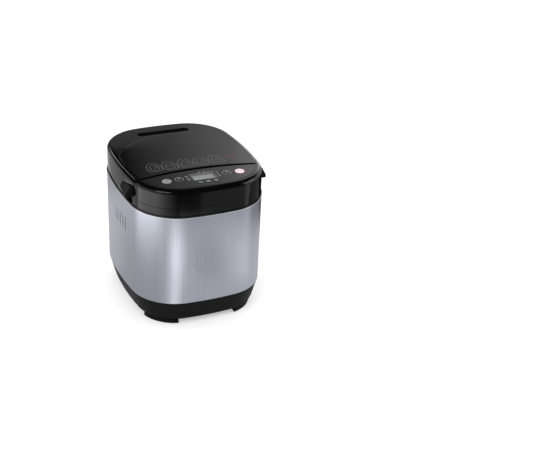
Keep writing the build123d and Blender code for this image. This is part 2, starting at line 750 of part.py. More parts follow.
def make_key_switches():
    switches = []
    sketch = RectangleRounded(SWITCH_SIZE, SWITCH_SIZE, SWITCH_CORNER)
    for x, setback, _ in KEYS.values():
        body = extrude(sketch, SWITCH_HEIGHT - SWITCH_PLUNGER)
        plunger = extrude(Circle(KEY_STEM_RADIUS), SWITCH_HEIGHT)
        switches.append(key_place(setback, x, -BOARD_DROP) * (body + plunger))
    return Compound(children=switches)


def make_key(x, setback, radius):
    """One push key: a crowned cap, a retaining flange under the fascia and a stem over its switch."""
    flange_top = -TOP_WALL - SEAT_GAP
    stem_bottom = SWITCH_HEIGHT - BOARD_DROP + KEY_TRAVEL + SEAT_GAP / 2
    cap_body = Pos(0, 0, flange_top) * extrude(Circle(radius), KEY_PROUD - flange_top)
    cap_body = fillet(cap_body.faces().sort_by(Axis.Z)[-1].edges(), KEY_EDGE_RADIUS)
    flange_low = flange_top - KEY_FLANGE_THICKNESS
    flange = Pos(0, 0, flange_low) * extrude(Circle(radius + KEY_FLANGE), KEY_FLANGE_THICKNESS)
    stem = Pos(0, 0, stem_bottom) * extrude(Circle(KEY_STEM_RADIUS), flange_top - stem_bottom)
    return key_place(setback, x) * (cap_body + flange + stem)


# Lid


def plate_blank(grow, low, high):
    """The raised plate on the lid: straight-sided along the lid, with a bowed rear edge."""
    side = outline(CAP_INSET + CAP_EDGE_RADIUS + PLATE_EDGE - grow)
    rear = Pos(0, PLATE_REAR_Y - PLATE_REAR_RADIUS) * Circle(PLATE_REAR_RADIUS + grow)
    block = extrude(side & rear, 2 * TOP) & tilted_slab(low, high)
    return block - front_zone(LID_GAP + PLATE_FRONT_EDGE - grow)


def make_lid_top_plate():
    top = TOP + PLATE_PROUD
    plate = plate_blank(0, TOP + PLATE_PROUD - PLATE_THICKNESS, top + PLATE_CROWN)
    ball_radius = (HALF_WIDTH**2 + PLATE_CROWN**2) / (2 * PLATE_CROWN)
    centre_y = (SEAM_Y + PLATE_REAR_Y) / 2
    ball = on_top(0, centre_y, PLATE_PROUD + PLATE_CROWN - ball_radius) * Sphere(ball_radius)
    plate &= ball
    return chamfer(plate.faces().sort_by(Axis.Y)[-1].edges(), PLATE_CHAMFER)


def steam_slot(grow, low, high):
    """The steam slot at the rear of the lid, square to the sloping top."""
    sketch = SlotOverall(STEAM_LENGTH + 2 * grow, STEAM_WIDTH + 2 * grow)
    return on_top(0, STEAM_Y, low) * extrude(sketch, high - low)


def liner_boss_places():
    rows = (LINER_BOSS_FRONT_Y, LINER_BOSS_REAR_Y)
    return [(x, y) for x in (-LINER_BOSS_X, LINER_BOSS_X) for y in rows]


def grip_front():
    """Where the grips begin, just behind the seam as it runs down the sides."""
    seam_drop = TOP - (SPLIT + GRIP_ABOVE_SPLIT)
    bow = HALF_WIDTH**2 / (2 * SEAM_RADIUS)
    return SEAM_Y - bow + SEAM_SLANT * seam_drop + GRIP_BEHIND_SEAM


def finger_hollows(wall):
    """The hollows under both grips, open below and outward, widened by a wall."""
    front = grip_front() + FINGER_MARGIN - wall
    rear = grip_front() + GRIP_LENGTH - FINGER_MARGIN + wall
    block = span_block(HALF_WIDTH - FINGER_DEPTH - wall, FAR, front, rear, 0, 2 * TOP)
    return both_sides(block & tilted_slab(0, SPLIT + GRIP_ABOVE_SPLIT + wall))


def make_lid_shell():
    outer = cap(0, LID_BOTTOM, TOP, CAP_EDGE_RADIUS) - front_zone(LID_GAP)
    hollow = cap(CASE_WALL, 0, TOP - TOP_WALL, CAP_EDGE_RADIUS - CASE_WALL)
    hollow = hollow - front_zone(LID_GAP + CASE_WALL) - finger_hollows(CASE_WALL)
    shell = outer - hollow - finger_hollows(0)
    (inner, middle), (lid_inner, lid_outer) = knuckle_spans()
    relief = span_block(-lid_outer - KNUCKLE_GAP, lid_outer + KNUCKLE_GAP,
                        CHAMBER_Y + CHAMBER_DEPTH / 2, FAR, 0, HINGE_Z - HINGE_RELIEF)
    shell -= relief
    notch = rod_x(KNUCKLE_RADIUS + LID_GAP, inner - KNUCKLE_GAP, middle + KNUCKLE_GAP, HINGE_Y, HINGE_Z)
    shell -= both_sides(notch)
    barrel = rod_x(KNUCKLE_RADIUS, lid_inner, lid_outer, HINGE_Y, HINGE_Z)
    shell += both_sides(barrel)
    shell -= rod_x(HINGE_PIN_RADIUS + RUNNING_FIT, -FAR, FAR, HINGE_Y, HINGE_Z)
    bosses = Sketch() + [Pos(x, y) * Circle(LINER_BOSS_RADIUS) for x, y in liner_boss_places()]
    columns = extrude(bosses, 2 * TOP) & tilted_slab(liner_flange_top(), TOP - TOP_WALL / 2)
    shell += columns & cap(CASE_WALL / 2, 0, TOP, CAP_EDGE_RADIUS)
    pilots = Sketch() + [Pos(x, y) * Circle(LINER_SCREW_RADIUS) for x, y in liner_boss_places()]
    shell -= extrude(pilots, 2 * TOP) & tilted_slab(0, liner_flange_top() + LINER_SCREW_LENGTH)
    shell -= plate_blank(PLATE_GROOVE, TOP + PLATE_PROUD - PLATE_THICKNESS, TOP + CAP_EDGE_RADIUS)
    return shell - steam_slot(0, -2 * TOP_WALL, TOP_WALL)


def liner_flange_bottom():
    return LEDGE_TOP + LINER_LIFT


def liner_flange_top():
    return liner_flange_bottom() + LINER_SHEET


def make_lid_liner():
    low = liner_flange_bottom()
    dome_top = TOP - TOP_WALL - LINER_HEADROOM
    edge = CAP_INSET + CASE_WALL + SEAT_GAP
    flange = column(edge, 0, 2 * TOP) & tilted_slab(low, low + LINER_SHEET)
    flange -= front_zone(LID_GAP + CASE_WALL + SEAT_GAP)
    flange -= finger_hollows(CASE_WALL + SEAT_GAP)
    hinge_room = HINGE_Y - KNUCKLE_RADIUS - 2 * LID_GAP
    flange -= span_block(-FAR, FAR, hinge_room, FAR, 0, 2 * TOP)
    dome = mouth(2 * LINER_SHEET, 0, 2 * TOP) & tilted_slab(low, dome_top)
    hollow = mouth(LINER_SHEET, 0, 2 * TOP) & tilted_slab(0, dome_top - LINER_SHEET)
    liner = flange + dome - hollow
    slot = SlotOverall(LINER_VENT_LENGTH, LINER_VENT_WIDTH)
    vent_y = CHAMBER_Y + CHAMBER_DEPTH / 2 - LINER_VENT_LENGTH
    for index in range(LINER_VENT_COUNT):
        x = (index - (LINER_VENT_COUNT - 1) / 2) * LINER_VENT_PITCH
        hole = Pos(x, vent_y, TOP / 2) * (Rot(0, 0, 90) * slot)
        liner -= extrude(hole, TOP) & tilted_slab(dome_top - 4 * LINER_SHEET, TOP)
    for x, y in liner_boss_places():
        liner -= cylinder(LINER_SCREW_RADIUS, 0, 2 * TOP, x, y)
        liner -= cylinder(LINER_HEAD_RADIUS, 0, 2 * TOP, x, y) & tilted_slab(0, low + LINER_HEAD_HEIGHT)
    return liner


def make_liner_screws():
    low = liner_flange_bottom()
    screws = []
    for x, y in liner_boss_places():
        head = cylinder(LINER_HEAD_RADIUS, 0, 2 * TOP, x, y) & tilted_slab(low, low + LINER_HEAD_HEIGHT)
        shank_top = low + LINER_SHEET + LINER_SCREW_LENGTH
        shank = cylinder(LINER_SCREW_RADIUS, 0, 2 * TOP, x, y) & tilted_slab(low, shank_top)
        screws.append(head + shank)
    return Compound(children=screws)


def make_steam_vent():
    """A deep insert with a slotted floor, clipped under the steam slot."""
    tub = steam_slot(-SEAT_GAP, -STEAM_DEPTH, -STEAM_SKIN)
    tub -= steam_slot(-SEAT_GAP - STEAM_SKIN, STEAM_SKIN - STEAM_DEPTH, 0)
    flange_top = -TOP_WALL - SEAT_GAP / 3
    flange = steam_slot(STEAM_FLANGE, flange_top - STEAM_SKIN, flange_top)
    flange -= steam_slot(-SEAT_GAP - STEAM_SKIN, -STEAM_DEPTH, 0)
    insert = tub + flange
    opening = STEAM_WIDTH - 2 * SEAT_GAP - 4 * STEAM_SKIN
    pitch = (STEAM_LENGTH - STEAM_WIDTH) / STEAM_SLOT_COUNT
    for index in range(STEAM_SLOT_COUNT):
        x = (index - (STEAM_SLOT_COUNT - 1) / 2) * pitch
        slot = Pos(x, 0, -2 * STEAM_DEPTH) * (Rot(0, 0, 90) * SlotOverall(opening, STEAM_SLOT_WIDTH))
        insert -= on_top(0, STEAM_Y) * extrude(slot, 2 * STEAM_DEPTH)
    return insert


def grip_profile(y, reach, rise):
    """Wedge section of a lift grip at one distance along the lid, running past its lip."""
    under = SPLIT + GRIP_ABOVE_SPLIT + y * SLOPE
    tip = HALF_WIDTH + reach
    base = HALF_WIDTH - 4 * CAP_EDGE_RADIUS
    skin = HALF_WIDTH - CAP_INSET
    lip_top = under + GRIP_LIP
    edge = tip + OVERRUN
    edge_top = lip_top - OVERRUN * rise / (tip - skin)
    points = [(base, under), (edge, under), (edge, edge_top), (skin, lip_top + rise), (base, lip_top + rise)]
    wire = [(x, y, z) for x, z in points]
    return make_face(Polyline(*wire, close=True))


def make_lid_grips():
    front = grip_front()
    front_end = grip_profile(front - OVERRUN, GRIP_REACH, GRIP_FRONT_RISE)
    rear_end = grip_profile(front + GRIP_LENGTH + OVERRUN, GRIP_REAR_REACH, GRIP_REAR_RISE)
    wedge = loft([front_end, rear_end], ruled=True)
    corners = [
        (0, front),
        (HALF_WIDTH + GRIP_REACH, front),
        (HALF_WIDTH + GRIP_REAR_REACH, front + GRIP_LENGTH),
        (0, front + GRIP_LENGTH),
    ]
    plan = Polygon(*corners, align=None)
    plan = fillet(plan.vertices().sort_by(Axis.X)[-2:], GRIP_ROUND)
    wedge &= extrude(plan, 2 * TOP)
    grip = wedge - cap(0, 0, TOP, CAP_EDGE_RADIUS)
    return both_sides(grip)


# Baking chamber, heater and sensor


def make_oven_chamber():
    box = mouth(CHAMBER_SHEET, CHAMBER_BOTTOM, CHAMBER_TOP)
    box = fillet(box.faces().sort_by(Axis.Z)[0].edges(), CHAMBER_EDGE_RADIUS + CHAMBER_SHEET)
    hollow = mouth(0, CHAMBER_FLOOR, 2 * TOP)
    hollow = fillet(hollow.faces().sort_by(Axis.Z)[0].edges(), CHAMBER_EDGE_RADIUS)
    flange = mouth(CHAMBER_FLANGE, CHAMBER_TOP - CHAMBER_SHEET, CHAMBER_TOP)
    chamber = box + flange - hollow
    chamber -= cylinder(HOUSING_RADIUS + SEAT_GAP, 0, TOP / 2, 0, CHAMBER_Y)
    front_low = CHAMBER_FRONT - 2 * CHAMBER_CORNER
    for x in (-HEATER_TAIL_X, HEATER_TAIL_X):
        chamber -= rod_y(INSULATOR_RADIUS, front_low, CHAMBER_FRONT + OVERRUN, x, heater_height())
    return chamber - rod_y(SENSOR_RADIUS, front_low, CHAMBER_FRONT + OVERRUN, SENSOR_X, sensor_height())


def heater_height():
    return CHAMBER_FLOOR + HEATER_LIFT


def sensor_height():
    return CHAMBER_FLOOR + SENSOR_LIFT


def make_heating_element():
    x = CHAMBER_WIDTH / 2 - HEATER_WALL_GAP
    front = CHAMBER_FRONT + HEATER_WALL_GAP
    rear = CHAMBER_Y + CHAMBER_DEPTH / 2 - HEATER_WALL_GAP
    tail = CHAMBER_FRONT - HEATER_TAIL
    z = heater_height()
    left = [(-HEATER_TAIL_X, tail, z), (-HEATER_TAIL_X, front, z), (-x, front, z), (-x, rear, z)]
    right = [(-point_x, y, z) for point_x, y, z in reversed(left)]
    radii = [HEATER_TAIL_BEND, HEATER_BEND, HEATER_BEND, HEATER_BEND, HEATER_BEND, HEATER_TAIL_BEND]
    path = FilletPolyline(*left, *right, radius=radii)
    section = Plane(origin=left[0], x_dir=(1, 0, 0), z_dir=(0, 1, 0)) * Circle(HEATER_RADIUS)
    return sweep(section, path=path)


def make_heater_insulators():
    z = heater_height()
    wall_outer = CHAMBER_FRONT - CHAMBER_SHEET
    rear = CHAMBER_FRONT + SEAT_GAP
    bushes = []
    for x in (-HEATER_TAIL_X, HEATER_TAIL_X):
        bush = rod_y(INSULATOR_RADIUS, wall_outer - OVERRUN, rear, x, z)
        bush += rod_y(INSULATOR_RADIUS + INSULATOR_FLANGE, wall_outer - INSULATOR_LENGTH, wall_outer, x, z)
        bushes.append(bush - rod_y(HEATER_RADIUS + RUNNING_FIT, wall_outer - FAR, FAR, x, z))
    return Compound(children=bushes)


def make_heater_clips():
    """Four strips welded to the chamber walls, each with a notch that the heater lies in."""
    z = heater_height()
    wall = CHAMBER_WIDTH / 2
    inner = wall - HEATER_WALL_GAP - HEATER_RADIUS - 2 * HEATER_CLIP_SHEET
    top = z - HEATER_RADIUS / 2
    low = top - HEATER_RADIUS - 2 * HEATER_CLIP_SHEET
    half = HEATER_CLIP_WIDTH / 2
    rod = rod_y(HEATER_RADIUS + RUNNING_FIT, -FAR, FAR, wall - HEATER_WALL_GAP, z)
    clips = []
    for y_sign in (-1, 1):
        y = CHAMBER_Y + y_sign * (CHAMBER_DEPTH / 2 - CHAMBER_CORNER - half)
        strip = span_block(inner, wall, y - half, y + half, low, top) - rod
        clips += [strip, mirror(strip, Plane.YZ)]
    return Compound(children=clips)


def make_temperature_sensor():
    z = sensor_height()
    wall_outer = CHAMBER_FRONT - CHAMBER_SHEET
    probe = rod_y(SENSOR_RADIUS, wall_outer - OVERRUN, CHAMBER_FRONT + SENSOR_REACH, SENSOR_X, z)
    probe = fillet(probe.faces().sort_by(Axis.Y)[-1].edges(), SENSOR_RADIUS / 2)
    head = rod_y(SENSOR_RADIUS + SENSOR_FLANGE, wall_outer - SENSOR_FLANGE, wall_outer, SENSOR_X, z)
    tail = rod_y(SENSOR_RADIUS, wall_outer - SENSOR_TAIL, wall_outer, SENSOR_X, z)
    return probe + head + tail


def spacer_places():
    return [(x, CHAMBER_Y + y) for x in (-SPACER_X, SPACER_X) for y in (-SPACER_Y, SPACER_Y)]


def make_chamber_spacers():
    spacers = []
    for x, y in spacer_places():
        spacers.append(tube(SPACER_RADIUS, SPACER_BORE, CHASSIS_TOP, CHAMBER_BOTTOM, x, y))
    return Compound(children=spacers)


def make_chassis_plate():
    plate = column(CHASSIS_INSET, CHASSIS_BOTTOM, CHASSIS_TOP)
    plate -= cylinder(HOUSING_RADIUS + SEAT_GAP, 0, TOP, 0, CHAMBER_Y)
    plate -= cylinder(MOTOR_PULLEY_RADIUS + PULLEY_FLANGE + LID_GAP, 0, TOP, MOTOR_X, MOTOR_Y)
    for x, y in post_places():
        plate -= cylinder(SCREW_RADIUS, 0, TOP, x, y)
    return plate


# Drive train


def make_bearing_housing():
    housing = cylinder(HOUSING_RADIUS, HOUSING_BOTTOM, HOUSING_TOP, 0, CHAMBER_Y)
    flange_low = CHASSIS_BOTTOM - HOUSING_FLANGE_THICKNESS
    housing += cylinder(HOUSING_RADIUS + HOUSING_FLANGE, flange_low, CHASSIS_BOTTOM, 0, CHAMBER_Y)
    return housing - cylinder(SHAFT_RADIUS + BUSH_WALL, 0, TOP, 0, CHAMBER_Y)


def make_shaft_bushes():
    bore = SHAFT_RADIUS + RUNNING_FIT
    outer = SHAFT_RADIUS + BUSH_WALL
    upper = tube(outer, bore, HOUSING_TOP - BUSH_LENGTH, BUSH_TOP, 0, CHAMBER_Y)
    upper += tube(outer + BUSH_FLANGE, bore, HOUSING_TOP, BUSH_TOP, 0, CHAMBER_Y)
    lower = tube(outer, bore, HOUSING_BOTTOM, HOUSING_BOTTOM + BUSH_LENGTH, 0, CHAMBER_Y)
    return Compound(children=[upper, lower])


def make_drive_shaft():
    return cylinder(SHAFT_RADIUS, SHAFT_BOTTOM, DOG_BOTTOM + DOG_DISC / 2, 0, CHAMBER_Y)


def make_drive_dog():
    """Coupling on the shaft: a disc with two upright lugs that push the wing of the pan."""
    dog = cylinder(DOG_RADIUS, DOG_BOTTOM, DOG_TOP, 0, CHAMBER_Y)
    for sign in (-1, 1):
        near = CHAMBER_Y + sign * (DOG_RADIUS - DOG_LUG_DEPTH)
        far = CHAMBER_Y + sign * DOG_RADIUS
        half = DOG_LUG_WIDTH / 2
        lug = span_block(-half, half, min(near, far), max(near, far), DOG_BOTTOM, DOG_TOP + DOG_LUG_HEIGHT)
        dog += lug & cylinder(DOG_RADIUS, 0, TOP, 0, CHAMBER_Y)
    return dog - cylinder(SHAFT_RADIUS, 0, DOG_BOTTOM + DOG_DISC / 2, 0, CHAMBER_Y)


def flanged_pulley(radius, bore, x, y):
    """A flat-belt pulley with a flange above and below the belt."""
    pulley = tube(radius, bore, PULLEY_BOTTOM, PULLEY_TOP, x, y)
    for low in (PULLEY_BOTTOM, PULLEY_TOP - PULLEY_FLANGE_THICKNESS):
        pulley += tube(radius + PULLEY_FLANGE, bore, low, low + PULLEY_FLANGE_THICKNESS, x, y)
    return pulley


def make_driven_pulley():
    pulley = flanged_pulley(DRIVEN_PULLEY_RADIUS, SHAFT_RADIUS, 0, CHAMBER_Y)
    hollow = DRIVEN_PULLEY_RADIUS - PULLEY_RIM
    middle = (PULLEY_BOTTOM + PULLEY_TOP) / 2
    for low, high in ((0, middle - PULLEY_WEB / 2), (middle + PULLEY_WEB / 2, TOP)):
        pulley -= tube(hollow, PULLEY_HUB_RADIUS, low, high, 0, CHAMBER_Y)
    hole_circle = (hollow + PULLEY_HUB_RADIUS) / 2
    for index in range(PULLEY_HOLE_COUNT):
        angle = 2 * math.pi * index / PULLEY_HOLE_COUNT
        x = hole_circle * math.cos(angle)
        y = CHAMBER_Y + hole_circle * math.sin(angle)
        pulley -= cylinder(PULLEY_HOLE_RADIUS, 0, TOP, x, y)
    return pulley


def make_pulley_clip():
    return tube(CLIP_RADIUS, SHAFT_RADIUS, PULLEY_BOTTOM - CLIP_THICKNESS, PULLEY_BOTTOM, 0, CHAMBER_Y)


def belt_loop(extra):
    """Plan shape inside a taut belt round both pulleys."""
    driven = Pos(0, CHAMBER_Y) * Circle(DRIVEN_PULLEY_RADIUS + extra)
    driving = Pos(MOTOR_X, MOTOR_Y) * Circle(MOTOR_PULLEY_RADIUS + extra)
    return make_hull(driven.edges() + driving.edges())


def make_drive_belt():
    low = PULLEY_BOTTOM + PULLEY_FLANGE_THICKNESS + BELT_SIDE_GAP
    belt = belt_loop(RUNNING_FIT + BELT_THICKNESS) - belt_loop(RUNNING_FIT)
    return extrude(Pos(0, 0, low) * belt, BELT_WIDTH)


def stack_bottom():
    return CHASSIS_TOP + MOTOR_LOWER_CAP


def stack_top():
    return stack_bottom() + MOTOR_STACK


def make_motor_stator():
    size = (MOTOR_SIDE, MOTOR_SIDE, MOTOR_CORNER)
    stack = rounded_block(*size, stack_bottom(), stack_top(), MOTOR_X, MOTOR_Y)
    return stack - cylinder(ROTOR_RADIUS + ROTOR_GAP, 0, TOP, MOTOR_X, MOTOR_Y)


def make_motor_end_caps():
    bore = MOTOR_SHAFT_RADIUS + RUNNING_FIT
    room = ROTOR_RADIUS + ROTOR_GAP
    lower = tube(MOTOR_CAP_RADIUS, bore, CHASSIS_TOP, stack_bottom(), MOTOR_X, MOTOR_Y)
    lower -= cylinder(room, stack_bottom() - MOTOR_LOWER_CAP / 2, TOP, MOTOR_X, MOTOR_Y)
    top = stack_top() + MOTOR_UPPER_CAP
    upper = cylinder(MOTOR_CAP_RADIUS, stack_top(), top, MOTOR_X, MOTOR_Y)
    upper = fillet(upper.faces().sort_by(Axis.Z)[-1].edges(), MOTOR_UPPER_CAP / 2)
    upper -= cylinder(room, 0, stack_top() + MOTOR_UPPER_CAP / 2, MOTOR_X, MOTOR_Y)
    upper -= cylinder(bore, 0, 2 * TOP, MOTOR_X, MOTOR_Y)
    return Compound(children=[lower, upper])


def make_motor_rotor():
    core = cylinder(ROTOR_RADIUS, stack_bottom(), stack_top(), MOTOR_X, MOTOR_Y)
    shaft_top = stack_top() + MOTOR_UPPER_CAP + MOTOR_SHAFT_TOP
    return core + cylinder(MOTOR_SHAFT_RADIUS, SHAFT_BOTTOM, shaft_top, MOTOR_X, MOTOR_Y)


def make_motor_pulley():
    return flanged_pulley(MOTOR_PULLEY_RADIUS, MOTOR_SHAFT_RADIUS, MOTOR_X, MOTOR_Y)


def make_motor_capacitor():
    top = CHASSIS_TOP + CAPACITOR_HEIGHT
    can = cylinder(CAPACITOR_RADIUS, CHASSIS_TOP, top, CAPACITOR_X, BAY_Y)
    can = fillet(can.faces().sort_by(Axis.Z)[-1].edges(), CAPACITOR_CAP_HEIGHT / 2)
    stud = cylinder(CAPACITOR_RADIUS / 2, CHASSIS_TOP, top + CAPACITOR_CAP_HEIGHT, CAPACITOR_X, BAY_Y)
    return can + stud


def standoff_places():
    x = POWER_BOARD_WIDTH / 2 - STANDOFF_EDGE
    y = POWER_BOARD_DEPTH / 2 - STANDOFF_EDGE
    return [(POWER_BOARD_X + a * x, POWER_BOARD_Y + b * y) for a in (-1, 1) for b in (-1, 1)]


def make_board_standoffs():
    top = CHASSIS_TOP + STANDOFF_HEIGHT
    posts = [cylinder(STANDOFF_RADIUS, CHASSIS_TOP, top, x, y) for x, y in standoff_places()]
    return Compound(children=posts)


def make_power_board():
    low = CHASSIS_TOP + STANDOFF_HEIGHT
    size = (POWER_BOARD_WIDTH, POWER_BOARD_DEPTH, STANDOFF_EDGE / 2)
    return rounded_block(*size, low, low + BOARD_THICKNESS, POWER_BOARD_X, POWER_BOARD_Y)


def make_power_transformer():
    low = CHASSIS_TOP + STANDOFF_HEIGHT + BOARD_THICKNESS
    size = (TRANSFORMER_WIDTH, TRANSFORMER_DEPTH, TRANSFORMER_EDGE_RADIUS)
    return rounded_block(*size, low, low + TRANSFORMER_HEIGHT, POWER_BOARD_X, POWER_BOARD_Y)


def make_cord_gland():
    z = BASE_BOTTOM + GLAND_HEIGHT
    rear = math.sqrt(FRONT_BOW_RADIUS**2 - GLAND_X**2) + HALF_DEPTH - FRONT_BOW_RADIUS
    inner = rear - BASE_TAPER - CASE_WALL - GLAND_REACH
    gland = rod_y(GLAND_RADIUS + GLAND_FLANGE, inner, rear, GLAND_X, z)
    gland -= rod_y(GLAND_BORE, 0, FAR, GLAND_X, z)
    return gland - make_base_tray()


# Bread pan, bail and paddle


def pan_block(extra, low, high):
    """The drafted pan body, moved inward by a wall, with its rounded bottom edge."""
    shrink = (PAN_RIM - low) * math.tan(math.radians(PAN_DRAFT)) + extra
    grow = (high - PAN_RIM) * math.tan(math.radians(PAN_DRAFT)) - extra
    sections = []
    for level, change in ((low, -shrink), (high, grow)):
        sketch = RectangleRounded(PAN_LENGTH + 2 * change, PAN_WIDTH + 2 * change, PAN_CORNER + change)
        sections.append(Pos(0, CHAMBER_Y, level) * sketch)
    block = loft(sections, ruled=True) & pan_trough(extra, low, high)
    under = block.faces().filter_by(lambda face: face.normal_at().Z < -0.2)
    return fillet(outer_edges(under), PAN_EDGE_RADIUS - extra)


def pan_trough(extra, low, high):
    """A trough along Y whose large end radii give the pan its rounded ends."""
    half = PAN_LENGTH / 2 - extra
    radius = PAN_END_RADIUS - extra
    profile = Pos(0, low) * Rectangle(2 * half, 4 * PAN_DEPTH, align=(Align.CENTER, Align.MIN))
    profile = fillet(profile.vertices().group_by(Axis.Y)[0], radius)
    trough = extrude(Plane.XZ * profile, PAN_WIDTH, both=True)
    return Pos(0, CHAMBER_Y, 0) * trough


def outer_edges(faces):
    """Edges that only one face of a group has: the outline of the group."""
    edges = faces.edges()
    centres = [edge.center() for edge in edges]
    lone = []
    for index, edge in enumerate(edges):
        twins = [other for other in centres if (other - centres[index]).length < SEAT_GAP]
        if len(twins) == 1:
            lone.append(edge)
    return lone


def rib_pair(radius):
    """Rods that press the upright kneading ribs into the two long walls."""
    lean = math.radians(PAN_DRAFT)
    length = PAN_DEPTH
    rod = Pos(0, 0, -length) * extrude(Circle(radius), length) + Sphere(radius)
    top_y = PAN_WIDTH / 2 - RIB_TOP_DROP * math.tan(lean) + RIB_RADIUS - RIB_DEPTH
    front = Pos(0, CHAMBER_Y - top_y, PAN_RIM - RIB_TOP_DROP) * (Rot(PAN_DRAFT, 0, 0) * rod)
    rear = Pos(0, CHAMBER_Y + top_y, PAN_RIM - RIB_TOP_DROP) * (Rot(-PAN_DRAFT, 0, 0) * rod)
    return front + rear


def make_bread_pan():
    outside = pan_block(0, PAN_BOTTOM, PAN_RIM)
    size = (PAN_LENGTH + 2 * RIM_WIDTH, PAN_WIDTH + 2 * RIM_WIDTH, PAN_CORNER + RIM_WIDTH)
    rim = rounded_block(*size, PAN_RIM - RIM_THICKNESS, PAN_RIM, 0, CHAMBER_Y)
    bead = rim.faces().filter_by(Axis.Z).edges()
    rim = fillet(bead, RIM_THICKNESS / 2 - SEAT_GAP / 2)
    hollow = pan_block(PAN_WALL, PAN_BOTTOM + PAN_WALL, PAN_RIM + OVERRUN)
    pan = outside - rib_pair(RIB_RADIUS) + rim - (hollow - rib_pair(RIB_RADIUS + PAN_WALL))
    return pan - cylinder(PAN_SHAFT_RADIUS + PAN_BUSH_WALL, 0, PAN_RIM, 0, CHAMBER_Y)


def make_pan_base():
    """Black foot under the pan: a notched ring, a disc and the hub that holds the bush."""
    low = PAN_BOTTOM - PAN_BASE_HEIGHT
    inner = PAN_BASE_RADIUS - PAN_BASE_WALL
    foot = tube(PAN_BASE_RADIUS, inner, low, PAN_BOTTOM, 0, CHAMBER_Y)
    foot += cylinder(PAN_BASE_RADIUS, PAN_BOTTOM - PAN_BASE_DISC, PAN_BOTTOM, 0, CHAMBER_Y)
    foot += cylinder(PAN_BASE_HUB, PAN_BOTTOM - PAN_BASE_HUB_DROP, PAN_BOTTOM, 0, CHAMBER_Y)
    half = PAN_NOTCH_WIDTH / 2
    for index in range(PAN_NOTCH_COUNT):
        notch = span_block(0, FAR, -half, half, 0, low + PAN_NOTCH_HEIGHT)
        foot -= Pos(0, CHAMBER_Y, 0) * (Rot(0, 0, (index + 0.5) * 360 / PAN_NOTCH_COUNT) * notch)
    return foot - cylinder(PAN_SHAFT_RADIUS + PAN_BUSH_WALL, 0, TOP, 0, CHAMBER_Y)


def make_pan_bush():
    bore = PAN_SHAFT_RADIUS + RUNNING_FIT
    outer = PAN_SHAFT_RADIUS + PAN_BUSH_WALL
    floor = PAN_BOTTOM + PAN_WALL
    bush = tube(outer, bore, PAN_BOTTOM - PAN_BASE_HUB_DROP, floor, 0, CHAMBER_Y)
    flange_top = floor + PAN_BUSH_FLANGE_THICKNESS
    return bush + tube(outer + PAN_BUSH_FLANGE, bore, floor, flange_top, 0, CHAMBER_Y)


def make_pan_socket():
    inner = PAN_BASE_RADIUS + SOCKET_GAP
    top = CHAMBER_FLOOR + SOCKET_HEIGHT
    socket = tube(inner + SOCKET_WALL, inner, CHAMBER_FLOOR, top, 0, CHAMBER_Y)
    upper = socket.faces().sort_by(Axis.Z)[-1].edges()
    return chamfer(upper, SOCKET_WALL / 4)


def make_bail_ears():
    """Sheet ears outside the rim at both ends of the pan, each with a foot under the rim."""
    span = (CHAMBER_Y - EAR_WIDTH / 2, CHAMBER_Y + EAR_WIDTH / 2)
    under_rim = PAN_RIM - RIM_THICKNESS
    foot_low = PAN_RIM - EAR_DROP
    ear = span_block(EAR_X, EAR_X + EAR_SHEET, *span, foot_low, PAN_RIM + EAR_RISE)
    upright = ear.edges().filter_by(Axis.X).sort_by(Axis.Z)[-2:]
    ear = fillet(upright, EAR_WIDTH / 3)
    arm = span_block(PAN_LENGTH / 3, EAR_X + OVERRUN, *span, foot_low, under_rim)
    ear += arm - pan_block(0, PAN_BOTTOM, PAN_RIM)
    ear -= rod_x(BAIL_RADIUS + RUNNING_FIT, 0, FAR, CHAMBER_Y, BAIL_PIVOT_Z)
    return both_sides(ear)


def make_pan_bail():
    """Wire bail folded back on the rim; its ends turn in through the ears."""
    end_x = EAR_X - BAIL_END
    back = CHAMBER_Y + BAIL_ARM
    z = BAIL_PIVOT_Z
    left = [(-end_x, CHAMBER_Y, z), (-BAIL_X, CHAMBER_Y, z), (-BAIL_X, back, z)]
    right = [(-x, y, level) for x, y, level in reversed(left)]
    radii = [BAIL_END_BEND, BAIL_CORNER, BAIL_CORNER, BAIL_END_BEND]
    path = FilletPolyline(*left, *right, radius=radii)
    section = Plane(origin=left[0], x_dir=(0, 1, 0), z_dir=(-1, 0, 0)) * Circle(BAIL_RADIUS)
    return sweep(section, path=path)


def paddle_floor():
    return PAN_BOTTOM + PAN_WALL + PAN_BUSH_FLANGE_THICKNESS + PADDLE_LIFT


def flat_side(grow):
    """What is cut away for the drive flat of the paddle shaft."""
    x = PAN_SHAFT_RADIUS - SHAFT_FLAT + grow
    return span_block(x, FAR, -FAR, FAR, paddle_floor(), 2 * TOP)


def make_pan_shaft():
    top = PAN_BOTTOM + PAN_WALL + PAN_SHAFT_RISE
    shaft = cylinder(PAN_SHAFT_RADIUS, WING_BOTTOM, top, 0, CHAMBER_Y)
    return shaft - flat_side(0)


def make_pan_wing():
    """Cross bar under the pan that the lugs of the drive dog push round."""
    top = WING_BOTTOM + WING_HEIGHT
    size = (WING_LENGTH, WING_WIDTH, WING_WIDTH / 2 - SEAT_GAP)
    wing = rounded_block(*size, WING_BOTTOM, top, 0, CHAMBER_Y)
    wing += cylinder(WING_HUB_RADIUS, WING_BOTTOM, top, 0, CHAMBER_Y)
    return wing - cylinder(PAN_SHAFT_RADIUS, 0, TOP, 0, CHAMBER_Y)


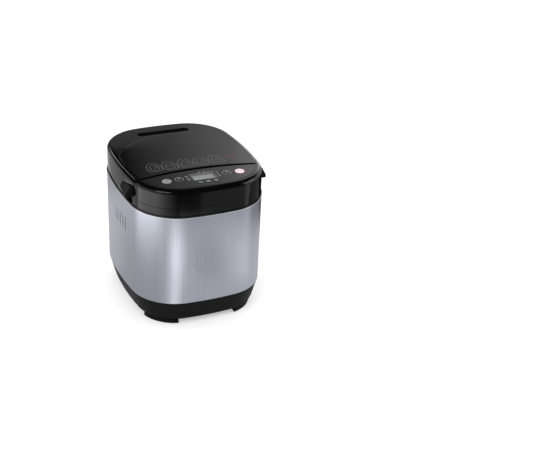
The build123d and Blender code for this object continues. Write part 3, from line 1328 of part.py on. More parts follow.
def make_kneading_paddle():
    """Hub on the flatted shaft with a tall fin on one side."""
    low = paddle_floor()
    hub = cylinder(PADDLE_HUB_RADIUS, low, low + PADDLE_HUB_HEIGHT)
    hub = fillet(hub.faces().sort_by(Axis.Z)[-1].edges(), PADDLE_CROWN)
    fin_low = low + PADDLE_FOOT
    corners = [
        (PADDLE_HUB_RADIUS / 2, fin_low),
        (PADDLE_LENGTH, fin_low),
        (PADDLE_LENGTH, fin_low + PADDLE_NOSE_HEIGHT),
        (PADDLE_SHOULDER, fin_low + PADDLE_HEIGHT),
        (PADDLE_HUB_RADIUS / 2, fin_low + PADDLE_HEIGHT),
    ]
    fin = extrude(Plane.XZ * Polygon(*corners, align=None), PADDLE_THICKNESS / 2, both=True)
    fin = fillet(fin.edges().filter_by(Axis.Y), PADDLE_CROWN)
    bore = cylinder(PAN_SHAFT_RADIUS + RUNNING_FIT, 0, TOP) - flat_side(RUNNING_FIT)
    return Pos(0, CHAMBER_Y, 0) * (hub + fin - bore)


PIECES = {
    "base_tray": make_base_tray,
    "feet": make_feet,
    "foot_pads": make_foot_pads,
    "chassis_screws": make_chassis_screws,
    "steel_wrap": make_steel_wrap,
    "top_frame": make_top_frame,
    "hinge_pins": make_hinge_pins,
    "front_fascia": make_front_fascia,
    "panel_overlay": make_panel_overlay,
    "display_window": make_display_window,
    "lcd_module": make_lcd_module,
    "control_board": make_control_board,
    "board_screws": make_board_screws,
    "key_switches": make_key_switches,
    "lid_shell": make_lid_shell,
    "lid_top_plate": make_lid_top_plate,
    "lid_liner": make_lid_liner,
    "liner_screws": make_liner_screws,
    "steam_vent": make_steam_vent,
    "lid_grips": make_lid_grips,
    "oven_chamber": make_oven_chamber,
    "heating_element": make_heating_element,
    "heater_insulators": make_heater_insulators,
    "heater_clips": make_heater_clips,
    "temperature_sensor": make_temperature_sensor,
    "chamber_spacers": make_chamber_spacers,
    "chassis_plate": make_chassis_plate,
    "bearing_housing": make_bearing_housing,
    "shaft_bushes": make_shaft_bushes,
    "drive_shaft": make_drive_shaft,
    "drive_dog": make_drive_dog,
    "driven_pulley": make_driven_pulley,
    "pulley_clip": make_pulley_clip,
    "drive_belt": make_drive_belt,
    "motor_stator": make_motor_stator,
    "motor_end_caps": make_motor_end_caps,
    "motor_rotor": make_motor_rotor,
    "motor_pulley": make_motor_pulley,
    "motor_capacitor": make_motor_capacitor,
    "board_standoffs": make_board_standoffs,
    "power_board": make_power_board,
    "power_transformer": make_power_transformer,
    "cord_gland": make_cord_gland,
    "pan_socket": make_pan_socket,
    "bread_pan": make_bread_pan,
    "pan_base": make_pan_base,
    "pan_bush": make_pan_bush,
    "bail_ears": make_bail_ears,
    "pan_bail": make_pan_bail,
    "pan_shaft": make_pan_shaft,
    "pan_wing": make_pan_wing,
    "kneading_paddle": make_kneading_paddle,
}

os.makedirs("parts", exist_ok=True)
for name, make in PIECES.items():
    export_step(make(), f"parts/{name}.step")
for name, place in KEYS.items():
    export_step(make_key(*place), f"parts/{name}.step")
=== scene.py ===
import json
import math
from functools import cache, partial

import bmesh
import bpy
from bpy.props import FloatProperty, FloatVectorProperty, IntProperty, PointerProperty
from bpy.types import Operator, Panel, PropertyGroup
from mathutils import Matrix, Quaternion, Vector
from mathutils.bvhtree import BVHTree


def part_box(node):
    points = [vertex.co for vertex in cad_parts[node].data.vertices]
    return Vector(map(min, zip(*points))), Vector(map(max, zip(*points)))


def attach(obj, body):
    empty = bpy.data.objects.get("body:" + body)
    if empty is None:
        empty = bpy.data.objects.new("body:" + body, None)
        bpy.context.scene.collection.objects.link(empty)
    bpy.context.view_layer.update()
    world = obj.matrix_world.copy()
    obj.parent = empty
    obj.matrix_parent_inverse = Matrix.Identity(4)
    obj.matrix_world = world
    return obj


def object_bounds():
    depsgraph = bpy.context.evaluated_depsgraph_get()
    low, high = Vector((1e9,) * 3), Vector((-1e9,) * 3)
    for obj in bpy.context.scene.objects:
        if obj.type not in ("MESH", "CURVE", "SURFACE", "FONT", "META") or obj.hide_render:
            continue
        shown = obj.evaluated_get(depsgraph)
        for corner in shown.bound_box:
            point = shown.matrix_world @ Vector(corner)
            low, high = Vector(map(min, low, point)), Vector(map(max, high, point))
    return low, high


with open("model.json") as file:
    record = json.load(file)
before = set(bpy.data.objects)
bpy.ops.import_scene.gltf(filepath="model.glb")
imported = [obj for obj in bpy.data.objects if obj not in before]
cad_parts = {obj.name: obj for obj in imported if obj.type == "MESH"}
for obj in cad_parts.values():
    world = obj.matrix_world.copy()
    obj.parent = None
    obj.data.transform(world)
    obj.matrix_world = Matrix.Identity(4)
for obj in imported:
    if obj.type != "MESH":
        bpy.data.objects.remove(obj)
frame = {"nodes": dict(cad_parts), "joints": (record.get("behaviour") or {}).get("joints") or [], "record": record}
CAD_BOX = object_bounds()

bl_info = {
    "name": "Bread machine",
    "version": (1, 0, 0),
    "blender": (4, 5, 0),
    "location": "View3D > Sidebar > Bread machine",
    "description": "Finishes, printed marks and studio for a countertop bread machine",
    "category": "Object",
}

MM = 0.001
SAME_PLACE = 0.001 * MM

# Share of a face's normal from which the face counts as upright, as looking up, or as the pan's floor
UPRIGHT_SHARE, UPPER_SHARE, FLOOR_SHARE = 0.7, 0.95, 0.3

# Places that come from the frame
SLOT_OF = {row["node"]: row["material_slot"] for row in frame["record"]["subparts"]}
PRESS_AXIS = next(joint["axis"] for joint in frame["joints"] if joint["name"] == "menu_key_press")
TOP_NORMAL = -Vector(PRESS_AXIS).normalized()


def middle_of(node):
    """Centre of a CAD node's box."""
    low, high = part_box(node)
    return (low + high) / 2


def rectangle(left, front, right, rear):
    """Four corners in a plane, counter-clockwise."""
    return [(left, front), (right, front), (right, rear), (left, rear)]


def new_object(name, data):
    """An object that is linked into the scene."""
    made = bpy.data.objects.new(name, data)
    bpy.context.scene.collection.objects.link(made)
    return made


# Sizes and colours that a user would change
Colour = partial(FloatVectorProperty, subtype="COLOR")
Length = partial(FloatProperty, unit="LENGTH")
Angle = partial(FloatProperty, unit="ROTATION")
Power = partial(FloatProperty, unit="POWER")


class BreadColours(PropertyGroup):
    """Colours of the finishes, in linear values."""

    steel: Colour(name="Steel", description="Brushed steel of the wrap", default=(0.475, 0.495, 0.56))
    gloss_black: Colour(name="Gloss black", description="Lid, band and panel", default=(0.0012, 0.0012, 0.0013))
    satin_black: Colour(name="Satin black", description="Base, feet and frame", default=(0.0042, 0.0042, 0.0044))
    print_grey: Colour(name="Print", description="Printed marks on the panel", default=(0.42, 0.42, 0.41))
    picture_grey: Colour(name="Pictures", description="Line pictures on the lid", default=(0.16, 0.16, 0.16))
    silver: Colour(name="Silver key", description="Large key on the left", default=(0.4, 0.385, 0.38))
    # Colour of the pale line along the lid plate and panel edges: a painted highlight
    painted_highlight_line: Colour(name="Painted highlight line", description="Painted highlight along the edges of the lid plate and panel", default=(0.085, 0.085, 0.087))
    signal_red: Colour(name="Signal red", description="Ring of the start key", default=(0.3, 0.03, 0.065))
    display: Colour(name="Display", description="Display without segments", default=(0.2, 0.204, 0.2))
    aluminium: Colour(name="Aluminium", description="Outside of the pan", default=(0.68, 0.68, 0.67))
    non_stick: Colour(name="Non-stick", description="Coating of pan and paddle", default=(0.012, 0.012, 0.013))


class BreadSizes(PropertyGroup):
    """Sizes of the printed marks and small details."""

    print_line: Length(name="Print line", description="Width of a printed line", default=0.8 * MM, min=0.1 * MM)
    print_lift: Length(name="Print lift", description="Thickness of the print", default=0.06 * MM, min=0.01 * MM)
    picture_count: IntProperty(name="Pictures", description="Line pictures on the lid", default=5, min=1, max=9)
    picture_pitch: Length(name="Picture pitch", description="Distance between pictures", default=33 * MM)
    picture_width: Length(name="Picture width", description="Width of one loaf outline", default=31 * MM)
    picture_height: Length(name="Picture height", description="Height of one loaf outline", default=26 * MM)
    picture_dome: Length(name="Picture dome", description="Rise of the loaf's crust", default=13 * MM)
    dash_length: Length(name="Dash length", description="Length of a mark beside the display", default=5 * MM)
    dash_width: Length(name="Dash width", description="Width of a mark beside the display", default=1.6 * MM)
    display_border: Length(name="Display border", description="Printed border round the display", default=1.6 * MM)
    edge_line: Length(name="Edge line", description="Width of the painted highlight and shade lines round the lid plate", default=0.9 * MM)
    # Height of the band along the wrap's rolled edge that carries a painted highlight
    painted_highlight_edge: Length(name="Painted highlight edge", description="Height of the painted highlight on the wrap's edge", default=2.7 * MM)
    edge_round: Length(name="Edge round", description="Softness of moulded edges", default=0.45 * MM)


class BreadStudio(PropertyGroup):
    """Camera and light."""

    azimuth: Angle(name="Azimuth", description="Camera turn", default=math.radians(-21.18))
    elevation: Angle(name="Elevation", description="Camera lift", default=math.radians(26.0))
    distance: Length(name="Distance", description="From the target", default=1.8842)
    target_height: Length(name="Target", description="Height looked at", default=0.1545)
    lens: FloatProperty(name="Lens", description="Focal length in millimetres", default=57.97)
    roll: Angle(name="Roll", description="Camera roll", default=0.009)
    shift_x: FloatProperty(name="Shift X", description="Framing of the photograph", default=0.1688)
    shift_y: FloatProperty(name="Shift Y", description="Framing of the photograph", default=-0.0059)
    ambient: FloatProperty(name="Ambient", description="Light from all round", default=0.75, min=0)
    key_power: Power(name="Key", description="Power of the main softbox", default=14.0)
    fill_power: Power(name="Fill", description="Power of the side softbox", default=5.0)
    top_power: Power(name="Top", description="Power of the overhead softbox", default=6.0)


def colours():
    return bpy.context.scene.bread_colours


def sizes():
    return bpy.context.scene.bread_sizes


def studio():
    return bpy.context.scene.bread_studio


# Node helpers for shader trees and geometry trees


def add_node(tree, kind, **values):
    """A node with its inputs linked or set by name, or by place after at_; its settings start with set_."""
    node = tree.nodes.new(kind)
    for label, value in values.items():
        if label.startswith("set_"):
            setattr(node, label[4:], value)
    for label, value in values.items():
        if label.startswith("set_"):
            continue
        socket = node.inputs[int(label[3:]) if label.startswith("at_") else label.replace("_", " ")]
        if isinstance(value, bpy.types.NodeSocket):
            tree.links.new(value, socket)
        else:
            socket.default_value = value
    return node


def add_noise(tree, vector, scale, detail=3.0, rough=0.55):
    """The value of a noise texture."""
    noise = add_node(tree, "ShaderNodeTexNoise", Vector=vector, Scale=scale, Detail=detail, Roughness=rough)
    return noise.outputs["Fac"]


def add_range(tree, value, low, high, out_low, out_high):
    """A clamped map range."""
    ends = {"From_Min": low, "From_Max": high, "To_Min": out_low, "To_Max": out_high}
    return add_node(tree, "ShaderNodeMapRange", Value=value, **ends).outputs["Result"]


def add_math(tree, operation, first, second):
    """One step of arithmetic."""
    return add_node(tree, "ShaderNodeMath", set_operation=operation, at_0=first, at_1=second).outputs[0]


def add_mix(tree, mask, first, second):
    """A mix of two colours, each a tuple or a socket."""
    node = add_node(tree, "ShaderNodeMix", set_data_type="RGBA", Factor=mask)
    for label, value in (("A", first), ("B", second)):
        socket = next(s for s in node.inputs if s.name == label and s.type == "RGBA")
        if isinstance(value, bpy.types.NodeSocket):
            tree.links.new(value, socket)
        else:
            socket.default_value = (*value[:3], 1.0)
    return next(s for s in node.outputs if s.type == "RGBA")


# Shader groups that several finishes share


def new_group(name, inputs, outputs):
    """An empty shader group with named sockets."""
    group = bpy.data.node_groups.new(name, "ShaderNodeTree")
    for label in inputs:
        kind = "Vector" if label in ("Vector", "Stretch") else "Float"
        group.interface.new_socket(name=label, in_out="INPUT", socket_type=f"NodeSocket{kind}")
    for label in outputs:
        group.interface.new_socket(name=label, in_out="OUTPUT", socket_type="NodeSocketFloat")
    return group, group.nodes.new("NodeGroupInput").outputs, group.nodes.new("NodeGroupOutput").inputs


def give_out(group, out, **values):
    """Links the results of a shader group to its outputs."""
    for label, value in values.items():
        group.links.new(value, out[label])


@cache
def moulded_grain():
    """Fine moulding grain as height, and slow handling marks as roughness."""
    group, given, out = new_group(
        "Moulded grain",
        ("Vector", "Grain Scale", "Mark Scale", "Low Roughness", "High Roughness"),
        ("Height", "Roughness", "Marks"),
    )
    grain = add_noise(group, given["Vector"], given["Grain Scale"], detail=2.0)
    marks = add_noise(group, given["Vector"], given["Mark Scale"], detail=4.0)
    rough = add_range(group, marks, 0.35, 0.65, given["Low Roughness"], given["High Roughness"])
    give_out(group, out, Height=grain, Roughness=rough, Marks=marks)
    return group


@cache
def brushed_streaks():
    """Long fine streaks of a brushed sheet: tint mask, roughness and height."""
    group, given, out = new_group(
        "Brushed streaks",
        ("Vector", "Stretch", "Low Roughness", "High Roughness"),
        ("Tint", "Roughness", "Height"),
    )
    stretched = add_node(
        group, "ShaderNodeVectorMath", set_operation="MULTIPLY", at_0=given["Vector"], at_1=given["Stretch"]
    ).outputs["Vector"]
    fine = add_noise(group, stretched, 1.0, detail=2.0, rough=0.6)
    broad = add_noise(group, stretched, 0.12, detail=3.0, rough=0.6)
    both = add_math(group, "ADD", add_math(group, "MULTIPLY", fine, 0.6), add_math(group, "MULTIPLY", broad, 0.4))
    rough = add_range(group, both, 0.35, 0.65, given["Low Roughness"], given["High Roughness"])
    give_out(group, out, Tint=add_range(group, both, 0.3, 0.7, 0.0, 1.0), Roughness=rough, Height=fine)
    return group


# Finishes


class Finish:
    """One procedural material around a Principled shader."""

    def __init__(self, name, metallic=0.0, ior=1.45):
        self.material = bpy.data.materials.new(name)
        self.material.use_nodes = True
        self.tree = self.material.node_tree
        self.shader = self.tree.nodes["Principled BSDF"]
        self.place = self.tree.nodes.new("ShaderNodeTexCoord").outputs["Object"]
        self.set(Metallic=metallic, IOR=ior)

    def set(self, **values):
        """Constants on the shader's own sockets, spaces in their names written as underscores."""
        for label, value in values.items():
            self.shader.inputs[label.replace("_", " ")].default_value = value
        return self

    def group(self, group, **values):
        """The outputs of a shader group over the piece's own place."""
        return add_node(self.tree, "ShaderNodeGroup", set_node_tree=group, Vector=self.place, **values).outputs

    def feed(self, label, socket):
        self.tree.links.new(socket, self.shader.inputs[label])
        return self

    def bump(self, height, depth, strength=0.3, soft_edge=0.0):
        """Relief from a height, over moulded edges softened by a small radius."""
        bump = add_node(self.tree, "ShaderNodeBump", Distance=depth, Strength=strength, Height=height)
        if soft_edge:
            bevel = add_node(self.tree, "ShaderNodeBevel", set_samples=4, Radius=soft_edge)
            self.tree.links.new(bevel.outputs["Normal"], bump.inputs["Normal"])
        return self.feed("Normal", bump.outputs["Normal"])

    def grained(self, low, high, grain, marks, dark=None, pale=None):
        """Roughness, and a colour between dark and pale, from handling marks; gives the grain's outputs."""
        values = {"Grain_Scale": grain, "Mark_Scale": marks, "Low_Roughness": low, "High_Roughness": high}
        grains = self.group(moulded_grain(), **values)
        self.feed("Roughness", grains["Roughness"])
        if dark:
            self.feed("Base Color", add_mix(self.tree, grains["Marks"], dark, pale))
        return grains


def scaled(colour, share):
    """A colour made darker or lighter."""
    return tuple(channel * share for channel in colour)


def moulded(name, colour, low, high, ior=1.45, grain=1500.0, depth=0.03 * MM, marks=14.0, lighter=1.5):
    """A moulded plastic with grain, handling marks and softened edges."""
    finish = Finish(name, ior=ior)
    grains = finish.grained(low, high, grain, marks, tuple(colour), scaled(colour, lighter))
    return finish.bump(grains["Height"], depth, soft_edge=sizes().edge_round)


def brushed(name, colour, stretch, low, high, depth=0.02 * MM, darker=0.86):
    """A brushed metal sheet with streaks along one direction."""
    finish = Finish(name, metallic=1.0)
    streaks = finish.group(brushed_streaks(), Stretch=stretch, Low_Roughness=low, High_Roughness=high)
    finish.feed("Base Color", add_mix(finish.tree, streaks["Tint"], scaled(colour, darker), colour))
    finish.feed("Roughness", streaks["Roughness"])
    return finish.bump(streaks["Height"], depth, strength=0.15)


def cast(name, dark, pale, low, high, grain, marks, depth):
    """A cast or pressed metal with a fine rough grain."""
    finish = Finish(name, metallic=1.0)
    grains = finish.grained(low, high, grain, marks, dark, pale)
    return finish.bump(grains["Height"], depth)


def flat_print(name, colour):
    """A thin layer of print."""
    return moulded(name, colour, 0.4, 0.5, depth=0.004 * MM, lighter=1.08)


# Streak directions: noise repeats per metre along each axis
UPRIGHT = (1400.0, 1400.0, 9.0)
LEVEL = (90.0, 90.0, 700.0)
STACKED = (8.0, 8.0, 2500.0)
ALL_ROUND = (60.0, 60.0, 1400.0)


def display_grey():
    """The display: level grey with a faint painted glow, standing in for light reaching it through the window, under
    a fine grain.
    """
    finish = Finish("Display", ior=1.4)
    grey = colours().display
    grains = finish.grained(0.3, 0.4, 2600.0, 30.0)
    tint = add_mix(finish.tree, grains["Marks"], tuple(grey), scaled(grey, 1.12))
    finish.feed("Base Color", tint)
    finish.feed("Emission Color", tint)
    # Painted glow: emission on a display that is no lamp
    return finish.set(Emission_Strength=0.18)


def clear_lens():
    """Thin clear window: seen through, with a surface gloss."""
    finish = Finish("Clear window")
    finish.grained(0.04, 0.09, 300.0, 40.0)
    return finish.set(Base_Color=(0.5, 0.52, 0.52, 1.0), Alpha=0.16)


PAN_RIM = 3.5 * MM


def pan_metal():
    """Brushed outside and dark coated inside, told apart by which way the wall faces."""
    finish = Finish("Pan")
    tree = finish.tree
    step = partial(add_math, tree)
    place = add_node(tree, "ShaderNodeSeparateXYZ", Vector=finish.place).outputs
    normal = add_node(tree, "ShaderNodeNewGeometry").outputs["Normal"]
    facing = add_node(tree, "ShaderNodeSeparateXYZ", Vector=normal).outputs
    outward = step("ADD", *(
        step("MULTIPLY", step("SUBTRACT", place[axis], middle), facing[axis])
        for axis, middle in zip("XY", middle_of("bread_pan"))
    ))
    inner_wall = step("LESS_THAN", outward, 0.0)
    floor = step("GREATER_THAN", facing["Z"], FLOOR_SHARE)
    below_rim = step("LESS_THAN", place["Z"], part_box("bread_pan")[1].z - PAN_RIM)
    coated = step("MULTIPLY", step("MAXIMUM", inner_wall, floor), below_rim)
    streaks = finish.group(brushed_streaks(), Stretch=UPRIGHT, Low_Roughness=0.28, High_Roughness=0.42)
    metal = add_mix(tree, streaks["Tint"], scaled(colours().aluminium, 0.88), colours().aluminium)
    finish.feed("Base Color", add_mix(tree, coated, metal, colours().non_stick))
    finish.feed("Metallic", step("SUBTRACT", 1.0, coated))
    finish.feed("Roughness", step("ADD", streaks["Roughness"], step("MULTIPLY", coated, 0.1)))
    return finish.bump(streaks["Height"], 0.02 * MM, strength=0.15)


def key_plastic(name, colour, low, high, **more):
    """The fine smooth plastic of a key or a thin line."""
    return moulded(name, colour, low, high, depth=0.01 * MM, **more)


def silver_key():
    finish = key_plastic("Silver key", colours().silver, 0.24, 0.34, ior=1.5, grain=2200.0, lighter=1.15)
    return finish.set(Metallic=0.35)


def thrice(value):
    """One value for three channels or three axes."""
    return (value, value, value)


# How each finish is made: name, colour, lowest and highest roughness, and what differs from the usual
FINISHES = {
    "gloss_black": lambda: moulded(
        "Gloss black", colours().gloss_black, 0.09, 0.14, ior=1.4, grain=900.0, depth=0.008 * MM
    ),
    "satin_black": lambda: moulded(
        "Satin black", colours().satin_black, 0.42, 0.55, ior=1.2, grain=1700.0, depth=0.05 * MM
    ),
    "nonstick_black": lambda: moulded(
        "Non-stick black", colours().non_stick, 0.38, 0.5, grain=2600.0, depth=0.05 * MM, lighter=1.8
    ),
    "foot_rubber": lambda: moulded("Foot rubber", thrice(0.018), 0.75, 0.9, grain=900.0, depth=0.12 * MM),
    "belt_rubber": lambda: moulded("Belt rubber", thrice(0.014), 0.6, 0.75, grain=700.0, depth=0.1 * MM),
    "switch_black": lambda: moulded("Switch plastic", thrice(0.02), 0.4, 0.5),
    "white_ceramic": lambda: moulded("White ceramic", (0.7, 0.68, 0.62), 0.55, 0.7, grain=600.0, lighter=1.1),
    "grey_nylon": lambda: moulded("Grey nylon", (0.3, 0.3, 0.285), 0.4, 0.55, grain=900.0, lighter=1.15),
    "circuit_board": lambda: moulded(
        "Solder mask", (0.015, 0.1, 0.035), 0.25, 0.4, grain=400.0, marks=160.0, lighter=2.2
    ),
    "silver_key": silver_key,
    "start_key": lambda: key_plastic("Pale key", (0.86, 0.75, 0.79), 0.25, 0.34, ior=1.5, grain=2200.0, lighter=1.1),
    "dark_key": lambda: key_plastic("Dark key", (0.014, 0.014, 0.015), 0.2, 0.3, grain=2200.0),
    # Pale line: painted highlight on the edge of the lid plate and panel; dark line beside it: painted shade
    "edge_line": lambda: key_plastic("Painted highlight line", colours().painted_highlight_line, 0.3, 0.4, grain=1800.0, lighter=1.1),
    "shade_line": lambda: key_plastic("Edge shade", thrice(0.001), 0.6, 0.7, ior=1.1, grain=1800.0),
    "brushed_wrap": lambda: brushed("Brushed steel wrap", colours().steel, UPRIGHT, 0.27, 0.4),
    # Painted highlight: a paler metal on the wrap's rolled edge, standing in for the light the hem catches
    "painted_highlight_edge": lambda: brushed("Painted highlight edge", (0.66, 0.67, 0.7), thrice(300.0), 0.3, 0.4, darker=0.94),
    "plated_steel": lambda: brushed("Plated steel", (0.55, 0.55, 0.54), thrice(500.0), 0.25, 0.38, darker=0.8),
    "chamber_metal": lambda: brushed("Aluminised sheet", (0.6, 0.6, 0.59), LEVEL, 0.3, 0.45, darker=0.8),
    "heater_tube": lambda: brushed("Heater tube", (0.14, 0.13, 0.125), thrice(400.0), 0.4, 0.6, darker=0.55),
    "lamination": lambda: brushed(
        "Varnished stack", (0.24, 0.2, 0.17), STACKED, 0.35, 0.55, depth=0.08 * MM, darker=0.4
    ),
    "can_metal": lambda: brushed("Drawn can", (0.62, 0.62, 0.63), ALL_ROUND, 0.2, 0.32),
    "cast_metal": lambda: cast(
        "Die-cast metal", (0.2, 0.2, 0.205), (0.36, 0.36, 0.365), 0.4, 0.6, 700.0, 60.0, 0.12 * MM
    ),
    "bearing_bronze": lambda: cast(
        "Sintered bronze", (0.4, 0.25, 0.1), (0.58, 0.4, 0.19), 0.35, 0.5, 1200.0, 90.0, 0.05 * MM
    ),
    "pan_metal": pan_metal,
    "display_grey": display_grey,
    "clear_lens": clear_lens,
    "panel_print": lambda: flat_print("Panel print", colours().print_grey),
    "picture_print": lambda: flat_print("Lid print", colours().picture_grey),
    "red_print": lambda: flat_print("Red print", colours().signal_red),
    "dim_red_print": lambda: flat_print("Dim red print", (0.105, 0.026, 0.042)),
    "border_print": lambda: flat_print("Display border", scaled(colours().display, 0.8)),
    "segment_print": lambda: flat_print("Display segments", (0.03, 0.032, 0.03)),
}


@cache
def finish_for(name):
    """The material of a finish, built once."""
    return FINISHES[name]().material


def second_finish(node, finish, chosen):
    """Gives the chosen faces of a CAD node a finish of their own."""
    mesh = frame["nodes"][node].data
    mesh.materials.append(finish_for(finish))
    slot = len(mesh.materials) - 1
    picked = [face for face in mesh.polygons if chosen(face, mesh)]
    if not picked:
        raise RuntimeError(f"no faces chosen on {node}")
    for face in picked:
        face.material_index = slot


def upper_rim(node, depth):
    """A test for the faces within a depth under the sloping upper edge of a node."""
    mesh = frame["nodes"][node].data
    top = max(vertex.co.dot(TOP_NORMAL) for vertex in mesh.vertices)

    def chosen(face, mesh):
        return all(mesh.vertices[index].co.dot(TOP_NORMAL) > top - depth for index in face.vertices)

    return chosen


def outer_wall(face, mesh):
    """True for an upright face that looks away from the middle of the machine."""
    flat = face.normal.xy
    return flat.length > UPRIGHT_SHARE and flat.dot(face.center.xy) > 0


# Printed marks, and painted highlight and shade lines: plan outlines that are laid on a surface of the machine


class Ground:
    """A surface seen from above, on which marks are laid."""

    def __init__(self, node):
        mesh = frame["nodes"][node].data
        mesh.calc_loop_triangles()
        vertices = [vertex.co.copy() for vertex in mesh.vertices]
        self.tree = BVHTree.FromPolygons(vertices, [list(row.vertices) for row in mesh.loop_triangles])
        self.start = CAD_BOX[1].z + 1.0

    def height(self, x, y):
        place, _, _, _ = self.tree.ray_cast(Vector((x, y, self.start)), Vector((0, 0, -1)))
        if place is None:
            raise RuntimeError(f"no surface under {x:.4f}, {y:.4f}")
        return place.z


def ribbon(bm, points, width, closed=False):
    """A flat strip of even width along a line of plan points."""
    count = len(points)
    sides = []
    for index, point in enumerate(points):
        before = points[index - 1] if closed or index else point
        after = points[(index + 1) % count] if closed or index < count - 1 else point
        along = (after - before).normalized()
        across = Vector((-along.y, along.x)) * width / 2
        sides.append((bm.verts.new((*(point + across), 0)), bm.verts.new((*(point - across), 0))))
    steps = count if closed else count - 1
    for index in range(steps):
        left, right = sides[index]
        next_left, next_right = sides[(index + 1) % count]
        bm.faces.new((left, right, next_right, next_left))


def loop_of(centre, radius, steps=40):
    """Plan points round a full circle."""
    angles = [2 * math.pi * index / steps for index in range(steps)]
    return [Vector((centre[0] + radius * math.cos(a), centre[1] + radius * math.sin(a))) for a in angles]


def top_border(node, spacing):
    """Plan points, evenly spaced, round the outer border of a node's upper face."""
    bm = bmesh.new()
    bm.from_mesh(frame["nodes"][node].data)
    bmesh.ops.remove_doubles(bm, verts=bm.verts, dist=SAME_PLACE)
    upper = {face for face in bm.faces if face.normal.dot(TOP_NORMAL) > UPPER_SHARE}
    rim = dict.fromkeys(edge for edge in bm.edges if len(upper.intersection(edge.link_faces)) == 1)
    loops = []
    while rim:
        edge, _ = rim.popitem()
        loop = [edge.verts[0], edge.verts[1]]
        while loop[-1] is not loop[0]:
            edge = next((other for other in loop[-1].link_edges if other in rim), None)
            if edge is None:
                break
            del rim[edge]
            loop.append(edge.other_vert(loop[-1]))
        loops.append([vertex.co.xy for vertex in loop])
    bm.free()
    outer = max(loops, key=lambda loop: sum((b - a).length for a, b in zip(loop, loop[1:])))
    return evenly_spaced(outer, spacing)


def evenly_spaced(points, spacing):
    """Points at one spacing along a closed line, counter-clockwise."""
    area = sum(a.x * b.y - b.x * a.y for a, b in zip(points, points[1:]))
    points = points if area > 0 else points[::-1]
    placed = []
    travelled = 0.0
    for a, b in zip(points, points[1:]):
        length = (b - a).length
        while len(placed) * spacing < travelled + length:
            placed.append(a.lerp(b, (len(placed) * spacing - travelled) / length))
        travelled += length
    return placed


def moved_inward(points, inset):
    """A closed counter-clockwise line, moved inward."""
    moved = []
    for index, point in enumerate(points):
        along = (points[(index + 1) % len(points)] - points[index - 1]).normalized()
        moved.append(point + Vector((-along.y, along.x)) * inset)
    return moved


def runs_of(points, kept):
    """The unbroken stretches of a closed line whose points pass a test."""
    first = next((index for index, point in enumerate(points) if not kept(point)), None)
    if first is None:
        return [points]
    stretches = [[]]
    for point in points[first:] + points[:first]:
        if kept(point):
            stretches[-1].append(point)
        elif stretches[-1]:
            stretches.append([])
    return [stretch for stretch in stretches if len(stretch) > 2]


def lay_print(name, bm, ground, body, finish):
    """Turns a flat plan mesh into a thin print, or a thin painted highlight or shade line, on a surface, as a piece
    that rides on a body.
    """
    thickness = sizes().print_lift
    bmesh.ops.recalc_face_normals(bm, faces=bm.faces)
    for face in bm.faces:
        if face.normal.z < 0:
            face.normal_flip()
    grown = bmesh.ops.extrude_face_region(bm, geom=list(bm.faces), use_keep_orig=True)
    top = {item for item in grown["geom"] if isinstance(item, bmesh.types.BMVert)}
    for vertex in bm.verts:
        raise_by = thickness if vertex in top else -thickness
        vertex.co.z = ground.height(vertex.co.x, vertex.co.y) + raise_by
    bmesh.ops.recalc_face_normals(bm, faces=bm.faces)
    mesh = bpy.data.meshes.new(name)
    bm.to_mesh(mesh)
    bm.free()
    mesh.materials.append(finish_for(finish))
    piece = new_object(name, mesh)
    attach(piece, body)


# Geometry nodes: what repeats is built by a node tree and then made into a plain mesh


class NodeTree:
    """A geometry tree under construction."""

    def __init__(self, name, **inputs):
        self.tree = bpy.data.node_groups.new(name, "GeometryNodeTree")
        self.tree.interface.new_socket(name="Geometry", in_out="OUTPUT", socket_type="NodeSocketGeometry")
        for label, kind in inputs.items():
            self.tree.interface.new_socket(name=label, in_out="INPUT", socket_type=f"NodeSocket{kind}")
        self.given = self.tree.nodes.new("NodeGroupInput").outputs
        self.out = self.tree.nodes.new("NodeGroupOutput").inputs

    def node(self, kind, **values):
        return add_node(self.tree, kind, **values)

    def math(self, operation, first, second):
        return add_math(self.tree, operation, first, second)

    def times(self, first, second):
        return self.math("MULTIPLY", first, second)

    def join(self, *sockets):
        joined = self.tree.nodes.new("GeometryNodeJoinGeometry")
        for socket in sockets:
            self.tree.links.new(socket, joined.inputs[0])
        return joined.outputs[0]

    def instances(self, points, shape):
        """A shape on every point, realised."""
        placed = self.node("GeometryNodeInstanceOnPoints", Points=points, Instance=shape)
        return self.node("GeometryNodeRealizeInstances", Geometry=placed.outputs[0]).outputs[0]

    def close(self, geometry, finish):
        painted = self.node("GeometryNodeSetMaterial", Geometry=geometry, Material=finish_for(finish))
        self.tree.links.new(painted.outputs[0], self.out[0])
        return self.tree


def flat_from_tree(name, tree, **values):
    """Runs a geometry tree once and keeps its flat result as a plan mesh, ready to be laid on a surface."""
    carrier = new_object(name, bpy.data.meshes.new(name))
    modifier = carrier.modifiers.new(name, "NODES")
    modifier.node_group = tree
    for item in tree.interface.items_tree:
        if item.in_out == "INPUT":
            modifier[item.identifier] = values[item.name]
    shown = carrier.evaluated_get(bpy.context.evaluated_depsgraph_get())
    mesh = bpy.data.meshes.new_from_object(shown)
    carrier.modifiers.remove(modifier)
    bpy.data.objects.remove(carrier)
    bm = bmesh.new()
    bm.from_mesh(mesh)
    bpy.data.meshes.remove(mesh)
    bmesh.ops.remove_doubles(bm, verts=bm.verts, dist=SAME_PLACE)
    return bm


def point_row(build, count, start, pitch):
    """A straight row of points."""
    return build.node("GeometryNodeMeshLine", Count=count, Start_Location=start, Offset=pitch).outputs[0]


def soft_block(build, width, height, radius, steps):
    """A closed rectangular line with round corners."""
    block = build.node("GeometryNodeCurvePrimitiveQuadrilateral", Width=width, Height=height)
    corners = {"Radius": radius, "Count": steps, "Limit_Radius": True}
    return build.node("GeometryNodeFilletCurve", set_mode="POLY", Curve=block.outputs[0], **corners).outputs[0]


